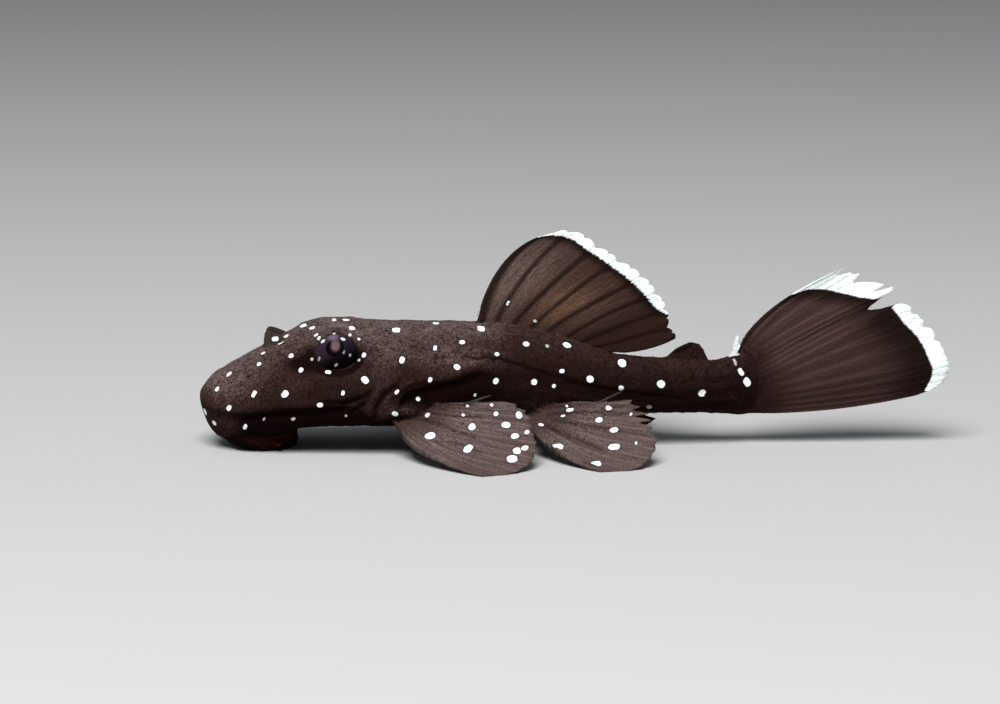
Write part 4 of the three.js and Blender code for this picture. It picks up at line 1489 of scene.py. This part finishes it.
def fin_colour(g, grain, is_tail):
    """Colour of the fins, how far a place is on a ray, how far a dark dorsal ray covers it, and its hairs."""
    u, along, out = g.parts("fin_at")
    phase, fork, twig = g.parts("branch")
    kind, spacing = g.read("kind"), g.read("spacing")
    from_ray = abs(g.math("FRACT", phase + 0.5) - 0.5)
    gap = abs(abs(from_ray - fork) - twig) * spacing
    hairs = streaks_of(g, phase, along, kind, 17, 5)
    bands = streaks_of(g, phase, along, kind, 2.6, 1.6)

    # Paired fins: fine pale rays drowned in grain, browner near the root and in bands, with dark streaks
    ridges = g.math("SINE", out * 38 + hairs * 6)
    on_paired = g.ramp(gap, 0.15, 0.03)
    stipple = (grain - 0.45) * g.ramp(along, 0.3, 0.85, 3.8, 1.2)
    strength = on_paired * (ridges * 0.25 + 0.3) + g.ramp(hairs, 0.3, 0.72, 0.1, 0.5) + stipple
    paired = g.layers(g.mix(strength.clamped(), PAIRED_WEB, PAIRED_RAY), [
        (PAIRED_ROOT, along - u * 0.22, 0.42, 0.08, 0, 0.8),
        (PAIRED_ROOT, bands, 0.54, 0.7, 0, 0.5)])
    paired = g.mix(g.read("under") * g.ramp(grain, 0.35, 0.6, 1, 0.45), paired, PAIRED_STREAK)

    # Dorsal fin: dark rays on webs that darken backwards and outwards, with a golden patch
    dorsal = g.layers(DORSAL_FRONT, [
        (DORSAL_MIDDLE, u, 0.1, 0.3),
        (DORSAL_FRONT, bands, 0.35, 0.7, 0.3, 0),
        (DORSAL_BACK, u, 0.45, 0.8),
        (DORSAL_GOLD, ((u - 0.4) * 2.2) ** 2 + (along - 0.38) ** 2, 0.09, 0, 0, 0.9),
        (DORSAL_BACK, along, 0.5, 0.95, 0, 0.6),
        (DORSAL_BACK, along, 0.4, 0.1, 0, 0.5),
        (DORSAL_RAY, hairs, 0.35, 0.7, 0, 0.5),
        (DORSAL_BACK, grain, 0.3, 0.7, 0.35, 0)])
    on_dorsal = g.ramp(gap, 0.42, 0.02)
    spine = g.ramp(phase * spacing, 0.85, 0.5)
    dorsal = g.mix(g.math("MAXIMUM", on_dorsal, spine) * 0.85, dorsal, DORSAL_RAY)

    # Tail fin: soft stripes that fade outwards, darker below and along the front edge
    on_tail = g.ramp(from_ray, 0.42, 0.1) * g.ramp(along, 0.45, 0.95, 1, 0.3)
    on_tail = on_tail * g.ramp(hairs, 0.2, 0.6, 0.4, 1)
    tail = g.layers(g.mix(on_tail, TAIL_WEB, TAIL_RAY), [
        (MARGIN_DARK, u, 0.45, 0.9, 0, 0.5),
        (MARGIN_DARK, u, 0.07, 0.015, 0, 0.5),
        (MARGIN_DARK, bands, 0.5, 0.75, 0, 0.3)])

    is_dorsal = from_kind(g, MIDDLE_FIN)
    fins = g.mix(is_tail, g.mix(is_dorsal, paired, dorsal), tail)
    on_ray = g.math("MAXIMUM", on_paired, on_dorsal * is_dorsal)
    cut = g.ramp(gap, 0.1, 0.02) * (is_dorsal - is_tail)
    return fins, on_ray * g.read("fin"), cut, hairs


def with_spots(g, at, colour, paint):
    """Round and long spots laid over a colour, each with a slightly darker ring around it."""
    size, light, run = g.read("spot_size"), g.read("spot_light"), g.read("spot_run", "Vector")
    away = g.vector("SUBTRACT", at, g.read("spot_at", "Vector"))
    long = g.math("MAXIMUM", g.vector("DOT_PRODUCT", run, run, "Value"), 1e-6)
    share = (g.vector("DOT_PRODUCT", away, run, "Value") / long).clamped()
    gap = g.vector("LENGTH", g.vector("SUBTRACT", away, g.vector("MULTIPLY", run, share)), output="Value")
    wobble = (g.noise(at, 3.5, 1) - 0.5) * 0.1
    colour = g.mix(g.ramp(gap - size, 0.25, 0, 0, 0.35) * light, colour, DARK_AND_SHADE)
    return g.mix(g.ramp(size + wobble - gap, -0.035, 0.035) * light, colour, paint)


def skin_material():
    g = Graph("pleco_skin")
    at = g.read("skin_at", "Vector")
    grain, speck, blotch, grit = skin_grain(g, at)

    # Plates: a fine line behind each rear edge
    column, _, shown = g.parts("plate")
    rear = g.math("FRACT", column)
    rear_line = ((g.ramp(rear, 0.9, 0.97) + g.ramp(rear, 0.06, 0)) * shown * blotch).clamped()
    body = body_colour(g, grain, speck, blotch, grit, rear_line)
    is_tail = from_kind(g, TAIL_FIN) - from_kind(g, LIP)
    fins, on_ray, cut, hairs = fin_colour(g, grain, is_tail)
    fins = g.layers(fins, [(MARGIN_DARK, grain, 0.3, 0.7, 0.25, 0)])
    colour = g.mix(g.read("fin"), body, fins)
    # Lips, nostril flaps and free ray tips: darker at random with the specks, and towards painted shade where
    # the underside value is high
    shade = (g.ramp(speck, 0.3, 0.7, 0.35, 0) + g.read("under")).clamped()
    for kind, paint in ((LIP, LIP_DARK), (FLAP, FLAP_GREY), (BARE_RAY, TIP_GREY)):
        colour = g.mix(from_kind(g, kind), colour, g.mix(shade, paint, DARK_AND_SHADE))

    # White seam, crossed by the dorsal rays, and a dark band inside it, widest on the middle of the tail
    seam = g.read("seam")
    band = is_tail * g.ramp(g.parts("fin_at")[0], 0.2, 0.5, 0.3, 1) * 3.9 + 1
    colour = g.layers(colour, [(MARGIN_DARK, seam / band, -1, -0.15, 0, 0.85)])
    uneven = (hairs - 0.5) * (0.5 - is_tail * 0.25) + seam
    colour = g.mix(g.ramp(uneven, -0.08, 0.1) * (1 - cut * 0.3), colour, WHITE)

    # Surface: grit and fine grains, plate edges and rays
    normal = g.bump(grain * 0.7 + grit * 0.4, 0.00008, 0.8)
    normal = g.bump(1 - rear_line, 0.00003, 0.5, normal)
    normal = g.bump(on_ray, 0.00005, 0.5, normal)
    return g.surface(with_spots(g, at, colour, SPOT_WHITE), g.ramp(grain, 0.3, 0.7, 0.62, 0.8), 0.012, normal)


# EYE_SHEEN is a painted sheen of reflected light on the upper front of the ball
EYE_VIOLET = screen(47, 35, 46)
EYE_SHEEN = screen(98, 88, 104)
EYE_BLACK = screen(4, 2, 5)
EYE_LOBE = screen(92, 70, 70)
EYE_SPECK_AND_GLINT = screen(205, 208, 216)
# Ovals of the eye: (backward, up) to the middle in mm, half length and half height
PUPIL = (-0.12, -0.1, 0.74, 0.76)
LOBE = (-0.08, 0.12, 0.46, 0.66)
SHEEN = (-0.3, 1, 0.7, 0.62)


def eye_material():
    g = Graph("pleco_eye")
    along, _, up = g.parts("eye_at")
    around = g.read("skin_at", "Vector")
    grain = g.noise(around, 6, 3, 0.6)

    def in_oval(backward, upward, length, height):
        """1 in the middle of an oval and 0 at its edge."""
        return 1 - g.math("SQRT", ((along - backward) / length) ** 2 + ((up - upward) / height) ** 2)

    # Violet towards the upper front, black below: painted light on the upper front of the ball and painted
    # shade under it
    tone = (up * 0.35 - along * 0.25 + grain * 0.3 + 0.45).clamped()
    lit = g.ramp(up - along * 0.3, -1.25, -0.4)
    # The lobe hangs over the pupil from the top of the iris, which carries a painted sheen of reflected light
    colour = g.layers(g.mix(tone * lit, EYE_BLACK, EYE_VIOLET), [
        (EYE_BLACK, in_oval(*PUPIL), -0.05, 0.12),
        (EYE_LOBE, in_oval(*LOBE), 0, 0.5),
        (EYE_SHEEN, in_oval(*SHEEN), 0, 0.8, 0, 0.9)])
    return g.surface(with_spots(g, around, colour, EYE_SPECK_AND_GLINT), 0.3, 0.02, g.bump(grain, 0.00002, 0.3))


# The fish

fin_parts = fin_shells()
shells = [body_shell(), *fin_parts, *ray_shells(fin_parts), disc_shell(),
          *(make(side) for make in (barbel_shell, flap_shell) for side in (-1, 1))]
spot_all(shells)
lay_out(shells)
skin = joined_skin(shells)
soften_joins(skin.data)
coats = [body_denticles(shells[0]), fin_denticles(shells)]
skin_look = skin_material()
eye_look = eye_material()
FLESH = ["head", "trunk", "tail", "caudal_fin", "lips", "dorsal_fin", "adipose_fin", "anal_fin",
         "nostril_flap_left", "nostril_flap_right", "pectoral_fin_left", "pectoral_fin_right",
         "pelvic_fin_left", "pelvic_fin_right"]
skin.data.materials.clear()
skin.data.materials.append(skin_look)
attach(skin, "root")
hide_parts(*FLESH)
for coat in coats:
    coat.data.materials.append(skin_look)
    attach(coat, "root")
for eye, name in zip(eye_objects(), ["eye_left", "eye_right"]):
    eye.data.materials.append(eye_look)
    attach(eye, "root")
    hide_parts(name)

# Floor, light and camera

bpy.ops.mesh.primitive_plane_add(size=4)
floor = bpy.context.object
floor.name = "floor"
floor.data.materials.append(Graph("pale_floor").surface(screen(190, 189, 188), 0.9, 0.1))

world = bpy.data.worlds.new("studio")
world.use_nodes = True
background = world.node_tree.nodes["Background"].inputs
background["Color"].default_value = (0.86, 0.93, 1, 1)
background["Strength"].default_value = 0.2
bpy.context.scene.world = world

LIGHT_FROM = Vector((-0.08, -0.38, 0.5))
LIGHT_AIM = Vector((0, 0, 0.005))
light_data = bpy.data.lights.new("overhead", "AREA")
light_data.shape = "DISK"
light_data.size = 0.4
light_data.energy = 6
light = new_object("overhead", light_data)
light.location = LIGHT_FROM
light.rotation_euler = (LIGHT_AIM - LIGHT_FROM).to_track_quat("-Z", "Y").to_euler()

camera_data = bpy.data.cameras.new("camera")
camera_data.lens = VIEW_LENS
camera_data.sensor_width = VIEW_SENSOR
camera = new_object("camera", camera_data)
camera.location = VIEW_FROM * METRES
camera.rotation_euler = (math.pi / 2 - VIEW_DOWN, 0, 0)
bpy.context.scene.camera = camera
bpy.context.scene.view_settings.view_transform = "Standard"
